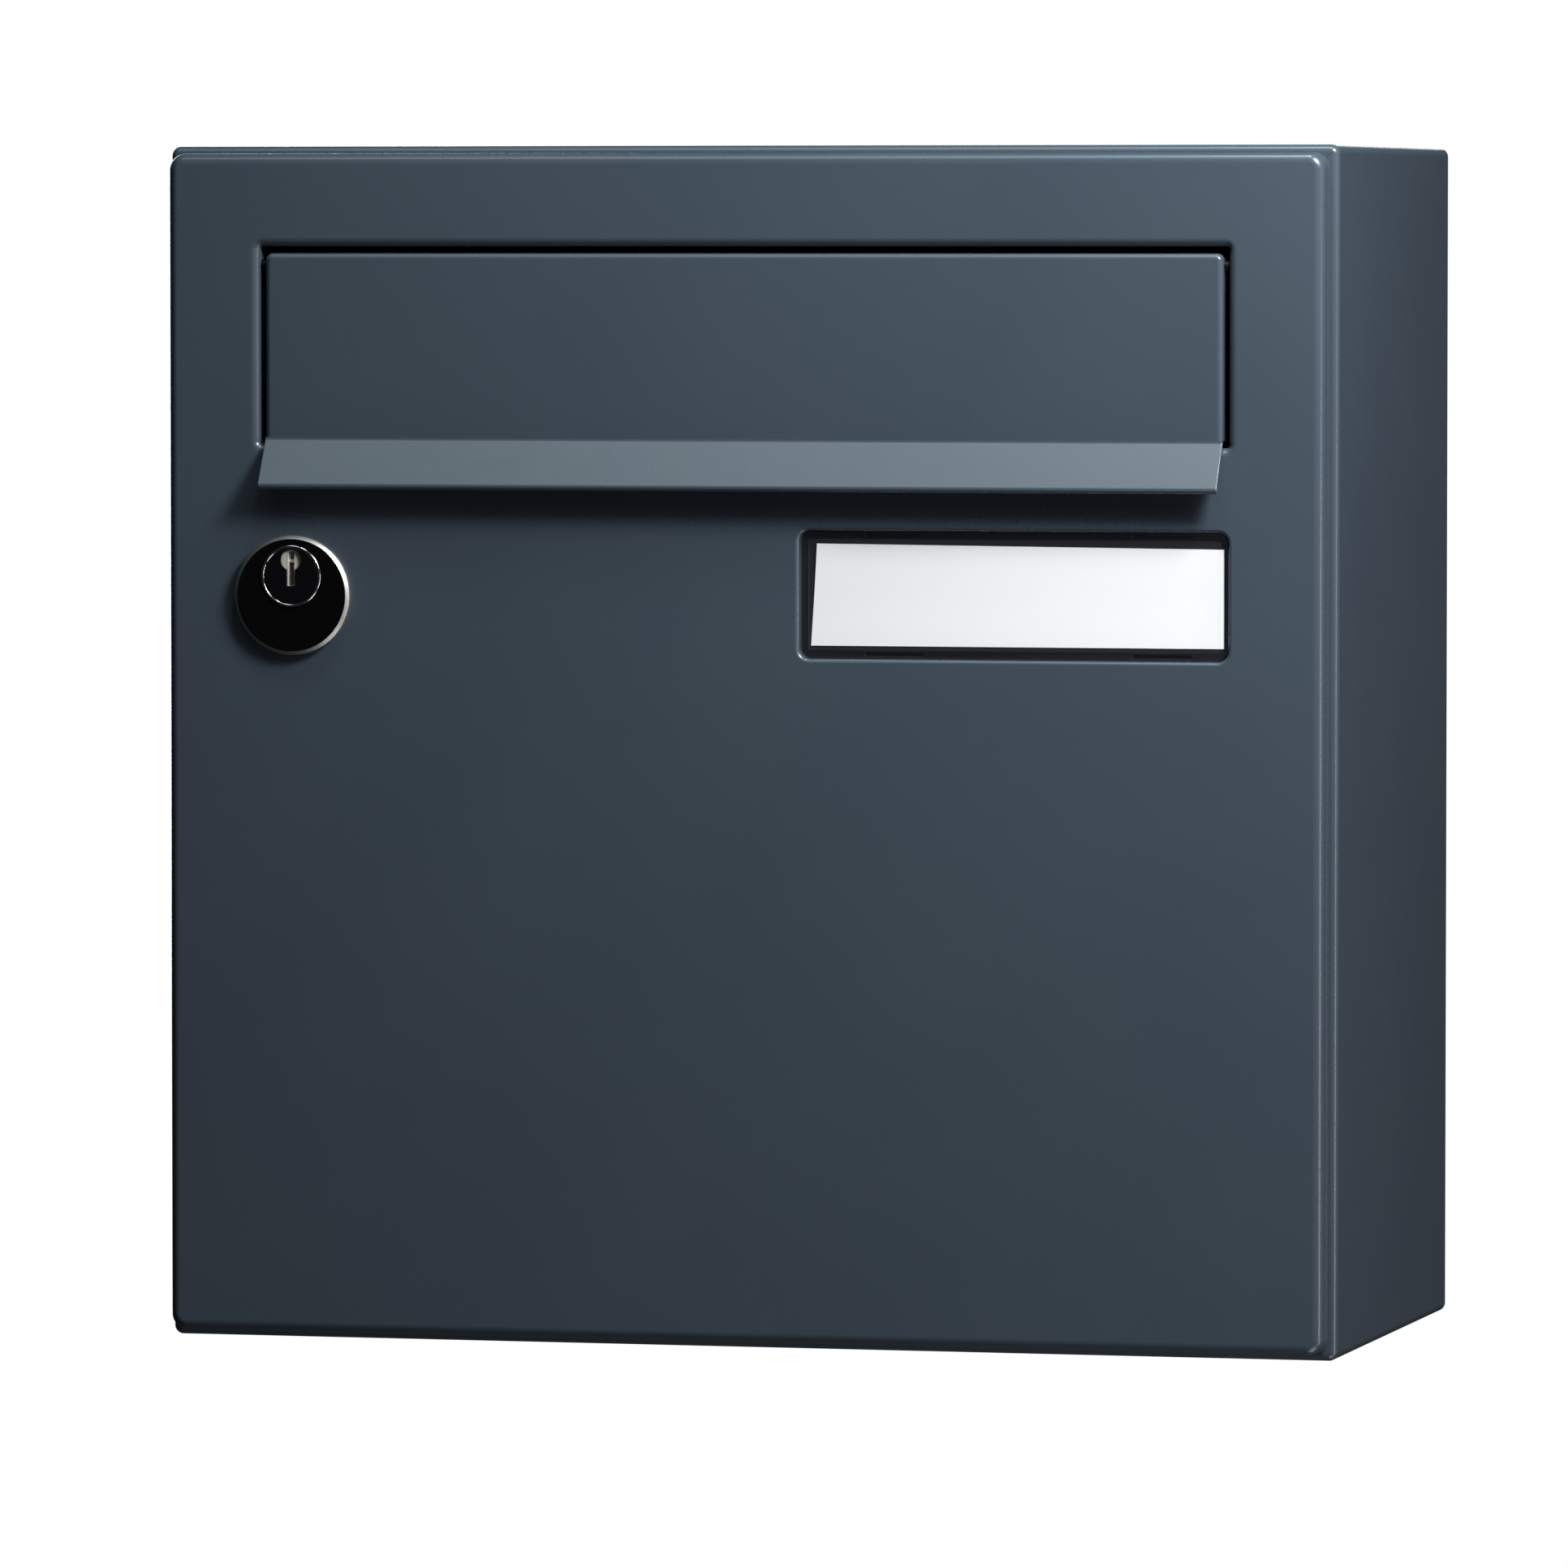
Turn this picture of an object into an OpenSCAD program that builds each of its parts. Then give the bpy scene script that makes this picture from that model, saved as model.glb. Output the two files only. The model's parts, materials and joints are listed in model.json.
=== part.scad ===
// Wall mounted letter box: a folded sheet-steel cabinet with an overlay door hinged on the right,
// a top-hung letter flap with a finger lip in the door, a cam lock and a clear name plate.
// +Z is up and the front faces -Y. The origin is the centre of the wall holes, on the back face.
// Every sub-part is drawn lying down, with Y up the box and Z out of the wall, and stood up last.

/* [Cabinet] */
// Outside width of the cabinet
cabinet_w = 400; // [330:1:500]
// Outside height of the cabinet
cabinet_h = 400; // [330:1:500]
// Depth of the cabinet from the wall to its front rim
cabinet_d = 188; // [120:1:240]
// Thickness of the steel sheet
sheet = 1; // [0.8:0.1:1.2]
// Radius of the cabinet's corners, seen from the front
cabinet_corner_r = 3; // [3:0.5:8]
// Outside radius of the bend between the cabinet's sides and its rim
rim_bend_r = 2.5; // [2:0.1:3]
// Radius of the door's corners, seen from the front
door_corner_r = 5.5; // [4.5:0.5:10]
// Outside radius of the bend along the door's front edges
bend_r = 3.5; // [2.5:0.1:4.5]
// Width of the rim that turns inward round the cabinet's mouth
rim_w = 20; // [19:0.5:28]
// Depth of the flange round the back panel
tray_flange = 12; // [8:1:20]

/* [Wall fixing] */
// Distance between the wall holes across the box
wall_span_x = 300; // [200:1:320]
// Distance between the wall holes up the box
wall_span_z = 300; // [200:1:320]
// Diameter of the wall holes
wall_hole_d = 6.4; // [4:0.1:9]

/* [Door] */
// Cabinet edge left showing round the door
door_reveal = 2.5; // [1.5:0.1:4]
// How far the door's face stands in front of the cabinet's rim
door_stand = 12; // [11:0.1:16]
// Gap between the cabinet's rim and the back edge of the door
door_gap = 2; // [1.5:0.1:3]
// Diameter of the rubber bumpers that the closed door rests on
bumper_d = 7; // [5:0.5:9]

/* [Hinges] */
// Distance of each hinge's middle from the top or bottom of the cabinet
hinge_inset = 60; // [40:1:120]
// Length of each hinge
hinge_len = 50; // [40:1:70]
// Length of the door's knuckle in the middle of each hinge
door_knuckle_len = 20; // [12:1:26]
// Height of the hinge pin's axis above the cabinet's rim
pivot_rise = 5; // [4.8:0.1:5.5]
// Diameter of the hinge pin
hinge_pin_d = 2.5; // [2:0.1:2.8]
// Thickness of the hinge leaves
leaf_t = 1.2; // [0.8:0.1:1.4]
// Diameter of the rivets that hold the hinges to the rim
rivet_d = 3.2; // [2.4:0.1:4]

/* [Letter flap] */
// Distance from the cabinet's side to the letter window
window_margin = 34.5; // [30:0.5:60]
// Distance from the cabinet's top to the letter window
window_drop = 33.5; // [28:0.5:60]
// Height of the letter window
window_h = 66; // [56:0.5:86]
// Radius of the bend round the letter window
window_bend_r = 3; // [1.5:0.1:3.5]
// Radius of the letter window's corners
window_corner_r = 1; // [0.8:0.1:5]
// Depth of the flange round the letter window
window_flange = 10; // [8:0.5:11]
// Gap between the flap and the window at each side
flap_side_gap = 1.9; // [1:0.1:3]
// Gap between the flap and the window at the top
flap_top_gap = 2.2; // [2:0.1:4]
// Height of the bend between the flap and its lip above the window's lower edge
lip_rise = 1.8; // [1.5:0.1:8]
// How far the flap's face lies behind the door's face
flap_inset = 0.4; // [0:0.1:1]
// Thickness of the flap's sheet
flap_t = 1.2; // [1:0.1:1.5]
// Radius of the bends along the flap's top and sides
flap_bend_r = 2; // [1.6:0.1:2.5]
// Depth of the flap's turned-in edges
flap_return = 8; // [7:0.5:9]
// Angle of the finger lip from upright
lip_angle = 31.8; // [20:0.1:45]
// Length of the finger lip along its slope
lip_len = 18.6; // [12:0.1:24]
// Radius of the bend between the flap's face and its lip
lip_bend_r = 2; // [1:0.1:4]
// Radius of the rolled hem along the lip's edge
hem_r = 1.3; // [1.2:0.1:2]
// Diameter of the flap's axle
axle_d = 4; // [3:0.1:5]
// Distance from the flap's front and top to the axle
axle_inset = 4; // [3.8:0.1:4.5]
// Radial clearance of the running fits
running_gap = 0.05; // [0.02:0.01:0.1]
// Thickness of the flap's rubber buffers
buffer_t = 1.2; // [0.8:0.1:1.6]

/* [Theft guard] */
// Distance from each end of the guard to the side of the letter window
guard_end_gap = 15.5; // [10:0.5:40]
// Slope of the guard's tongue below level
guard_slope = 30; // [20:1:40]
// Length of the guard's tongue
guard_len = 45; // [25:1:60]
// Height of the guard's mounting flange
guard_flange_h = 12.5; // [11:0.5:14]

/* [Name plate] */
// Width of the name plate's window
plate_w = 145; // [100:0.5:160]
// Height of the name plate's window
plate_h = 42.4; // [30:0.1:43]
// Distance from the letter window's lower edge to the name plate's window
plate_drop = 27.8; // [26:0.1:60]
// Radius of the name plate window's corners
plate_corner_r = 3.5; // [2:0.1:6]
// Radius of the bend round the name plate's window
plate_bend_r = 1.5; // [1.2:0.1:2]
// Depth of the flange round the name plate's window
plate_flange = 3; // [2.5:0.1:4]
// Width of the name card
card_w = 138.6; // [80:0.1:138.6]
// Height of the name card
card_h = 33.4; // [20:0.1:36]
// Gap round the clear cover
cover_gap = 0.3; // [0.2:0.05:0.6]
// Width of the clear cover's thick border
cover_border = 2.6; // [2:0.1:3]
// Width of each snap tongue of the clear cover
clip_w = 20; // [8:0.5:24]
// Distance of the left snap tongues from the middle of the cover
clip_left = 40.5; // [30:0.5:50]
// Distance of the right snap tongues from the middle of the cover
clip_right = 50; // [30:0.5:55]
// Thickness of the plastic holder behind the card
holder_t = 2.5; // [2:0.1:3]

/* [Lock] */
// Distance from the cabinet's left side to the lock's axis
lock_left = 46.5; // [40:0.5:60]
// Distance from the letter window's lower edge to the lock's axis
lock_drop = 44; // [41:0.5:90]
// Diameter of the black escutcheon
escutcheon_d = 40; // [34:0.5:44]
// Thickness of the escutcheon
escutcheon_t = 3.4; // [3:0.1:4.5]
// Width of the bevel round the escutcheon's edge
escutcheon_bevel = 1.2; // [0.4:0.1:1.6]
// Distance of the escutcheon's middle below the lock's axis
escutcheon_offset = 6.4; // [4:0.1:8]
// Diameter of the chromed ring round the lock's face
ring_d = 20.8; // [19:0.1:22]
// Width of the chromed ring
ring_w = 1.1; // [0.8:0.1:1.5]
// Diameter of the lock's barrel
barrel_d = 16; // [14:0.5:18]
// Distance across the barrel's two flats
barrel_flats = 13; // [12:0.5:14]
// Diameter of the turning plug
plug_d = 11.1; // [9:0.1:11.5]
// Width of the keyway
keyway_w = 1.9; // [1.4:0.1:2.4]
// Size of the plug's square end
cam_square = 7; // [5:0.1:7.5]
// Length of the cam from the lock's axis to its tip
cam_len = 38; // [34:0.5:42]
// Width of the cam
cam_w = 14; // [10:0.5:18]

/* [Hidden] */
$fn = 64;

paint = "#3f4c56";
zinc = "#b9bcbe";
nickel = "#c9c8c2";
black = "#15171a";
rubber = "#1d1e20";

// Cabinet and door
rim_corner_r = 3;
tray_bend_r = 1.5;
door_w = cabinet_w - 2 * door_reveal;
door_h = cabinet_h - 2 * door_reveal;
door_z = cabinet_d + door_stand;
door_back_z = cabinet_d + door_gap;
door_inner_z = door_z - sheet;
bumper_x = -(door_w / 2 - bumper_d / 2);
bumper_inset = 50;
bumper_y = cabinet_h / 2 - bumper_inset;

// Hinges
door_knuckle_r = 2.25;
body_knuckle_r = door_knuckle_r - 0.25;
knuckle_gap = 0.3;
pivot_x = door_w / 2 - sheet - door_knuckle_r;
pivot_z = cabinet_d + pivot_rise;
arm_reach = 6.6;
foot_end = cabinet_w / 2 - rim_w + 0.6;
door_leaf_w = 12;
door_leaf_bend_r = bend_r - sheet + 0.5;
pin_head_h = 1;
rivet_x = (foot_end + pivot_x - arm_reach) / 2;
rivet_spacing = 30;
rivet_head_h = 1;

// Letter window and flap
window_w = cabinet_w - 2 * window_margin;
window_top = cabinet_h / 2 - window_drop;
window_y = window_top - window_h / 2;
window_bottom = window_top - window_h;
flap_w = window_w - 2 * flap_side_gap;
flap_top = window_top - flap_top_gap;
flap_z = door_z - flap_inset;
flap_back_z = flap_z - flap_t;
lip_y = window_bottom + lip_rise;
flap_face_h = flap_top - lip_y;
flap_corner_r = flap_bend_r + 0.4;
axle_y = flap_top - axle_inset;
axle_z = flap_z - axle_inset;
axle_clip_t = 1.5;
axle_clip_r = axle_inset + flap_inset - sheet - 0.2;
axle_clip_x = window_w / 2 + window_bend_r + axle_clip_t / 2;
axle_len = 2 * (axle_clip_x + axle_clip_t);
stop_w = 12;
stop_inset = 13.5;
stop_x = window_w / 2 - stop_inset;
stop_rise = 6;
stop_top = lip_y + stop_rise;
buffer_w = 10;
buffer_margin = 0.6;
buffer_lift = 0.4;
buffer_top = stop_top - buffer_margin;
buffer_foot = window_bottom + buffer_lift;
buffer_h = buffer_top - buffer_foot;
buffer_y = (buffer_top + buffer_foot) / 2;
stop_z = flap_back_z - buffer_t;

// Theft guard
guard_w = window_w - 2 * guard_end_gap;
guard_bend_r = 2.5;
guard_top = window_bottom - window_bend_r;
guard_bend_y = guard_top - guard_bend_r;
stud_d = 4;
stud_len = 8.5;
guard_stud_len = 6.5;
nut_flats = 7;
nut_h = 3.2;
guard_stud_y = guard_bend_y - guard_flange_h / 2 - 0.5;
guard_stud_x = guard_w / 2 - 20;

// Name plate
plate_x = window_w / 2 - plate_w / 2;
plate_y = window_bottom - plate_drop - plate_h / 2;
holder_z = door_z - plate_flange;
holder_margin = 2.3;
holder_h = plate_h + 2 * holder_margin;
holder_stud_x = plate_w / 2 + 9.5;
holder_boss_r = 5;
holder_w = 2 * (holder_stud_x + holder_boss_r + 1.5);
card_t = 0.3;
cover_w = plate_w - 2 * cover_gap;
cover_h = plate_h - 2 * cover_gap;
cover_corner_r = plate_corner_r - cover_gap;
cover_z = door_z - 0.7;
pane_t = 1;
tongue_t = 1;
tongue_y = cover_h / 2 - cover_border / 2;
tongue_len = 3.2;

// Lock, with depths counted from the door's face
lock_x = -cabinet_w / 2 + lock_left;
lock_y = window_bottom - lock_drop;
ring_z = door_z + escutcheon_t + 0.6;
ring_seat_z = door_z + 1;
ring_gap = 0.1;
recess_z = ring_z - 2;
face_z = ring_z - 0.2;
face_t = 0.8;
face_r = ring_d / 2 - ring_w - 0.05;
head_r = face_r - 0.05;
keyhole_r = 3.5;
keyhole_rise = face_r - keyhole_r - 0.35;
keyhole_slot = 1.4;
keyhole_foot = 3.3;
washer_t = 1.4;
cam_t = 2;
cam_gap = 0.8;
cam_front_z = cabinet_d - sheet - cam_gap;
cam_back_z = cam_front_z - cam_t;
plug_back_z = cam_front_z + washer_t;
barrel_back_z = plug_back_z + 0.5;
lock_nut_t = 4.5;
lock_nut_flats = 22;
wafer_w = 6.4;
wafer_h = 7.4;
wafer_t = 0.8;
wafer_pitch = 2;
wafer_start = 3.6;
wafer_slot_gap = 0.25;
wafer_bridge = 1.2;
keyway_wall = 1;
keyway_floor = 2;
square_inset = 0.2;
washer_lap = 0.5;
cam_lap = 1;
screw_d = 4;
screw_len = 5.5;
screw_head_d = 9;
screw_head_h = 2.6;
screw_cross_w = 1.2;
screw_cross_share = 0.55;
screw_cross_h = 2.4;
// How far a cut runs past a face
cut = 1;
// How far a slanted plate runs into the bend it leaves, and how much is shaved off both its faces,
// so that the two fuse into one solid
lap = 0.3;
shave = 0.05;

// Stands a lying sub-part up, so that its Y points up and its Z points out of the wall
module upright() rotate([90, 0, 0]) children();

// Rectangle with round corners, about its middle
module rounded(w, h, r) {
    square([w - 2 * r, h], center = true);
    square([w, h - 2 * r], center = true);
    for (x = [-1, 1], y = [-1, 1])
        translate([x * (w / 2 - r), y * (h / 2 - r)]) circle(r);
}

// Part of a ring between two angles, for a bend seen end on
module sector(outer_r, inner_r, from, to) {
    reach = 2 * outer_r;
    middle = (from + to) / 2;
    intersection() {
        difference() {
            circle(outer_r);
            circle(inner_r);
        }
        polygon([
            [0, 0], [reach * cos(from), reach * sin(from)],
            [reach * cos(middle), reach * sin(middle)], [reach * cos(to), reach * sin(to)]
        ]);
    }
}

// Section of a wall that rises from z0 and bends inward into a face at z1
module bend_profile(z0, z1, r, t) {
    translate([-t, z0]) square([t, z1 - r - z0]);
    translate([-r, z1 - r]) sector(r, r - t, 0, 90);
}

// Carries a section round a rectangle with round corners: its X points outward and its Y along Z
module around(w, h, r) {
    for (k = [0 : 3]) {
        across = k % 2 == 0 ? w : h;
        along = k % 2 == 0 ? h : w;
        rotate([0, 0, 90 * k]) {
            translate([across / 2, along / 2 - r, 0])
                rotate([90, 0, 0]) linear_extrude(along - 2 * r) children();
            translate([across / 2 - r, along / 2 - r, 0])
                rotate_extrude(angle = 90) translate([r, 0]) children();
        }
    }
}

// Carries a section along Y, centred: its X stays and its Y points along Z
module along_y(len) rotate([90, 0, 0]) linear_extrude(len, center = true) children();

// Carries a section along X, centred: its X points along Z and its Y stays
module along_x(len) rotate([0, -90, 0]) linear_extrude(len, center = true) children();

// Round bar along Z from z0 to z1
module bar(r, z0, z1) translate([0, 0, z0]) cylinder(r = r, h = z1 - z0);

// Places its children at the middle of the upper (1) or lower (-1) hinge, on the pin's axis
module at_hinge(side) translate([pivot_x, side * (cabinet_h / 2 - hinge_inset), pivot_z]) children();

// Places its children at both rivets of one hinge, on the front face of the rim
module at_rivets(side)
    for (end = [-1, 1])
        translate([rivet_x, side * (cabinet_h / 2 - hinge_inset) + end * rivet_spacing / 2, cabinet_d])
            children();

// Places its children on the lock's axis
module at_lock() translate([lock_x, lock_y, 0]) children();

// Places its children at the weld studs: three for the guard and two for the label holder
module at_guard_studs()
    for (x = [-guard_stud_x, 0, guard_stud_x]) translate([x, guard_stud_y, 0]) children();
module at_holder_studs()
    for (x = [-holder_stud_x, holder_stud_x]) translate([plate_x + x, plate_y, 0]) children();

// Places its children at the snap tongues of the clear cover
module at_tongues()
    for (x = [-clip_left, clip_right], side = [-1, 1])
        translate([plate_x + x, plate_y + side * tongue_y, 0]) children();

// Outline of the barrel and of the hole it passes through
module double_d(r, flats)
    intersection() {
        circle(r);
        square([flats, 2 * r], center = true);
    }

// Wrapper of the cabinet: four sides and the rim round its mouth, folded and welded
module cabinet_shell() {
    color(paint) upright() difference() {
        union() {
            around(cabinet_w, cabinet_h, cabinet_corner_r) bend_profile(0, cabinet_d, rim_bend_r, sheet);
            translate([0, 0, cabinet_d - sheet]) linear_extrude(sheet) difference() {
                rounded(
                    cabinet_w - 2 * rim_bend_r, cabinet_h - 2 * rim_bend_r, cabinet_corner_r - rim_bend_r);
                rounded(cabinet_w - 2 * rim_w, cabinet_h - 2 * rim_w, rim_corner_r);
            }
        }
        for (side = [-1, 1]) at_rivets(side) bar(rivet_d / 2, -sheet - cut, cut);
    }
}

// Back panel: a shallow tray spot-welded inside the wrapper, with the wall holes
module back_panel() {
    w = cabinet_w - 2 * sheet;
    h = cabinet_h - 2 * sheet;
    r = cabinet_corner_r - sheet;
    color(paint) upright() difference() {
        union() {
            around(w, h, r) mirror([0, 1]) bend_profile(-tray_flange, 0, tray_bend_r, sheet);
            linear_extrude(sheet) rounded(w - 2 * tray_bend_r, h - 2 * tray_bend_r, r - tray_bend_r);
        }
        for (x = [-1, 1], y = [-1, 1])
            translate([x * wall_span_x / 2, y * wall_span_z / 2, 0]) bar(wall_hole_d / 2, -cut, sheet + cut);
    }
}

// Rubber bumpers on the rim, under the free edge of the closed door
module door_bumpers() {
    color(rubber) upright()
        for (side = [-1, 1])
            translate([bumper_x, side * bumper_y, 0]) bar(bumper_d / 2, cabinet_d, door_back_z);
}

// Hinge leaf on the rim: a goose-neck strap that reaches round the door's turned edge to the pin
module hinge_body_leaf(side) {
    arm_len = (hinge_len - door_knuckle_len) / 2 - knuckle_gap;
    arm_y = (hinge_len - arm_len) / 2;
    color(zinc) upright() difference() {
        at_hinge(side) {
            for (end = [-1, 1]) translate([0, end * arm_y, 0]) along_y(arm_len) difference() {
                union() {
                    circle(body_knuckle_r);
                    translate([-arm_reach, -leaf_t / 2]) square([arm_reach, leaf_t]);
                    translate([-arm_reach, -pivot_rise]) square([leaf_t, pivot_rise]);
                }
                circle(hinge_pin_d / 2);
            }
            along_y(hinge_len) translate([foot_end - pivot_x, -pivot_rise])
                square([pivot_x - arm_reach + leaf_t - foot_end, leaf_t]);
        }
        at_rivets(side) bar(rivet_d / 2, -cut, leaf_t + cut);
    }
}

// Hinge leaf in the door: spot-welded into the corner behind the door's face
module hinge_door_leaf(side) {
    face = door_inner_z - pivot_z;
    corner_x = door_knuckle_r - door_leaf_bend_r;
    color(zinc) upright() at_hinge(side) along_y(door_knuckle_len) difference() {
        union() {
            circle(door_knuckle_r);
            translate([door_knuckle_r - leaf_t, 0]) square([leaf_t, face - door_leaf_bend_r]);
            translate([corner_x, face - door_leaf_bend_r])
                sector(door_leaf_bend_r, door_leaf_bend_r - leaf_t, 0, 90);
            translate([-door_leaf_w, face - leaf_t]) square([door_leaf_w + corner_x, leaf_t]);
        }
        circle(hinge_pin_d / 2 + running_gap);
    }
}

// Hinge pin with a flat head, fast in the body's knuckles
module hinge_pin(side) {
    color(zinc) upright() at_hinge(side) rotate([-90, 0, 0]) {
        bar(hinge_pin_d / 2, -hinge_len / 2, hinge_len / 2);
        bar(body_knuckle_r - 0.2, hinge_len / 2, hinge_len / 2 + pin_head_h);
    }
}

module upper_hinge_body_leaf() hinge_body_leaf(1);
module lower_hinge_body_leaf() hinge_body_leaf(-1);
module upper_hinge_door_leaf() hinge_door_leaf(1);
module lower_hinge_door_leaf() hinge_door_leaf(-1);
module upper_hinge_pin() hinge_pin(1);
module lower_hinge_pin() hinge_pin(-1);

// Rivets through the hinge feet and the rim, with a head in front and a formed tail behind
module hinge_rivets() {
    head_r = rivet_d * 0.85;
    color(zinc) upright() for (side = [-1, 1]) at_rivets(side) {
        bar(rivet_d / 2, -sheet, leaf_t);
        translate([0, 0, leaf_t]) cylinder(r1 = head_r, r2 = rivet_d / 2, h = rivet_head_h);
        translate([0, 0, -sheet - rivet_head_h]) cylinder(r1 = rivet_d / 2, r2 = head_r, h = rivet_head_h);
    }
}

// Door: a folded pan with the letter window, the name plate's window and the lock's hole
module door_panel() {
    color(paint) upright() {
        difference() {
            union() {
                around(door_w, door_h, door_corner_r) bend_profile(door_back_z, door_z, bend_r, sheet);
                translate([0, 0, door_inner_z]) linear_extrude(sheet) difference() {
                    rounded(door_w - 2 * bend_r, door_h - 2 * bend_r, door_corner_r - bend_r);
                    translate([0, window_y]) rounded(
                        window_w + 2 * window_bend_r, window_h + 2 * window_bend_r,
                        window_corner_r + window_bend_r);
                    translate([plate_x, plate_y]) rounded(
                        plate_w + 2 * plate_bend_r, plate_h + 2 * plate_bend_r,
                        plate_corner_r + plate_bend_r);
                    translate([lock_x, lock_y])
                        double_d(barrel_d / 2 + ring_gap, barrel_flats + 2 * ring_gap);
                }
                translate([0, window_y, 0]) around(window_w, window_h, window_corner_r)
                    mirror([1, 0]) bend_profile(door_z - window_flange, door_z, window_bend_r, sheet);
                translate([plate_x, plate_y, 0]) around(plate_w, plate_h, plate_corner_r)
                    mirror([1, 0]) bend_profile(door_z - plate_flange, door_z, plate_bend_r, sheet);
                for (x = [-1, 1]) translate([x * stop_x - stop_w / 2, window_bottom - sheet, stop_z - sheet])
                    cube([stop_w, stop_top - window_bottom + sheet, sheet]);
            }
            translate([0, axle_y, axle_z]) rotate([0, 90, 0])
                cylinder(r = axle_d / 2, h = window_w + 4 * sheet, center = true);
        }
    }
}

// Threaded studs welded to the back of the door's face
module weld_studs() {
    color(zinc) upright() {
        at_guard_studs() bar(stud_d / 2, door_inner_z - guard_stud_len, door_inner_z);
        at_holder_studs() bar(stud_d / 2, door_inner_z - stud_len, door_inner_z);
    }
}

// Hexagon nuts on the weld studs
module stud_nut(z) difference() {
    translate([0, 0, z - nut_h]) cylinder(r = nut_flats / 2 / cos(30), h = nut_h, $fn = 6);
    bar(stud_d / 2, z - nut_h - cut, z + cut);
}
module stud_nuts() {
    color(zinc) upright() {
        at_guard_studs() stud_nut(door_inner_z - sheet);
        at_holder_studs() stud_nut(holder_z - holder_t);
    }
}

// Theft guard: an angle behind the slot whose tongue slopes down into the cabinet
module theft_guard() {
    turn = 90 + guard_slope;
    color(zinc) upright() difference() {
        along_x(guard_w) translate([door_inner_z - guard_bend_r, guard_bend_y]) {
            translate([guard_bend_r - sheet, -guard_flange_h]) square([sheet, guard_flange_h]);
            sector(guard_bend_r, guard_bend_r - sheet, 0, turn);
            rotate(turn) translate([guard_bend_r - sheet + shave, -lap])
                square([sheet - 2 * shave, guard_len + lap]);
        }
        at_guard_studs() bar(stud_d / 2 + ring_gap, door_inner_z - sheet - cut, door_inner_z + cut);
    }
}

// Axle of the letter flap, held in the window's side flanges
module flap_axle() {
    color(zinc) upright() translate([0, axle_y, axle_z]) rotate([0, 90, 0])
        cylinder(r = axle_d / 2, h = axle_len, center = true);
}

// Push-on clips at both ends of the axle
module axle_clips() {
    color(zinc) upright() for (x = [-1, 1])
        translate([x * axle_clip_x, axle_y, axle_z]) rotate([0, 90, 0]) difference() {
            cylinder(r = axle_clip_r, h = axle_clip_t, center = true);
            cylinder(r = axle_d / 2, h = axle_clip_t + 2 * cut, center = true);
        }
}

// Rubber buffers that the closed flap rests on
module flap_buffers() {
    color(rubber) upright() for (x = [-1, 1])
        translate([x * stop_x, buffer_y, stop_z]) linear_extrude(buffer_t) rounded(buffer_w, buffer_h, 1.5);
}

// Letter flap: a folded panel hung on the axle, with a sloping finger lip and a rolled hem
module letter_flap() {
    pan_h = flap_face_h + 20;
    pan_y = flap_top - pan_h / 2;
    tangent = lip_bend_r * tan(lip_angle / 2);
    face_end = lip_y + tangent;
    color(paint) upright() difference() {
        union() {
            intersection() {
                translate([0, pan_y, 0]) {
                    around(flap_w, pan_h, flap_corner_r)
                        bend_profile(flap_z - flap_return, flap_z, flap_bend_r, flap_t);
                    translate([0, 0, flap_back_z]) linear_extrude(flap_t) rounded(
                        flap_w - 2 * flap_bend_r, pan_h - 2 * flap_bend_r, flap_corner_r - flap_bend_r);
                }
                translate([-flap_w, face_end, flap_z - 2 * flap_return])
                    cube([2 * flap_w, pan_h, 3 * flap_return]);
            }
            along_x(flap_w) {
                translate([flap_z + lip_bend_r, face_end])
                    sector(lip_bend_r + flap_t, lip_bend_r, 180, 180 + lip_angle);
                translate([flap_z, lip_y]) rotate(lip_angle - 90) {
                    translate([tangent - lap, -flap_t + shave])
                        square([lip_len - hem_r - tangent + lap, flap_t - 2 * shave]);
                    translate([lip_len - hem_r, -hem_r]) circle(hem_r);
                }
            }
        }
        translate([0, axle_y, axle_z]) rotate([0, 90, 0])
            cylinder(r = axle_d / 2 + running_gap, h = flap_w + 2 * cut, center = true);
    }
}

// Plastic holder behind the name plate's window, on two studs
module label_holder() {
    slot_gap = 0.3;
    color(black) upright() difference() {
        union() {
            translate([plate_x, plate_y, holder_z - holder_t])
                linear_extrude(holder_t) rounded(holder_w, holder_h, 3);
            at_holder_studs() bar(holder_boss_r, holder_z, door_inner_z);
        }
        at_holder_studs() bar(stud_d / 2 + ring_gap, holder_z - holder_t - cut, door_inner_z + cut);
        at_tongues() translate([0, 0, holder_z - holder_t / 2])
            cube([clip_w + 2 * slot_gap, tongue_t + 2 * slot_gap, holder_t + 2 * cut], center = true);
    }
}

// Paper card on the holder
module label_card() {
    color("white") upright() translate([plate_x, plate_y, holder_z + card_t / 2])
        cube([card_w, card_h, card_t], center = true);
}

// Clear cover: a pane with a thick border and four snap tongues
module label_cover() {
    color([0.85, 0.9, 0.95, 0.4]) upright() {
        difference() {
            translate([plate_x, plate_y, holder_z]) linear_extrude(cover_z - holder_z)
                rounded(cover_w, cover_h, cover_corner_r);
            translate([plate_x, plate_y, holder_z - cut]) linear_extrude(cover_z - pane_t - holder_z + cut)
                rounded(cover_w - 2 * cover_border, cover_h - 2 * cover_border, 1);
        }
        at_tongues() translate([0, 0, holder_z - tongue_len / 2])
            cube([clip_w, tongue_t, tongue_len], center = true);
    }
}

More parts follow.
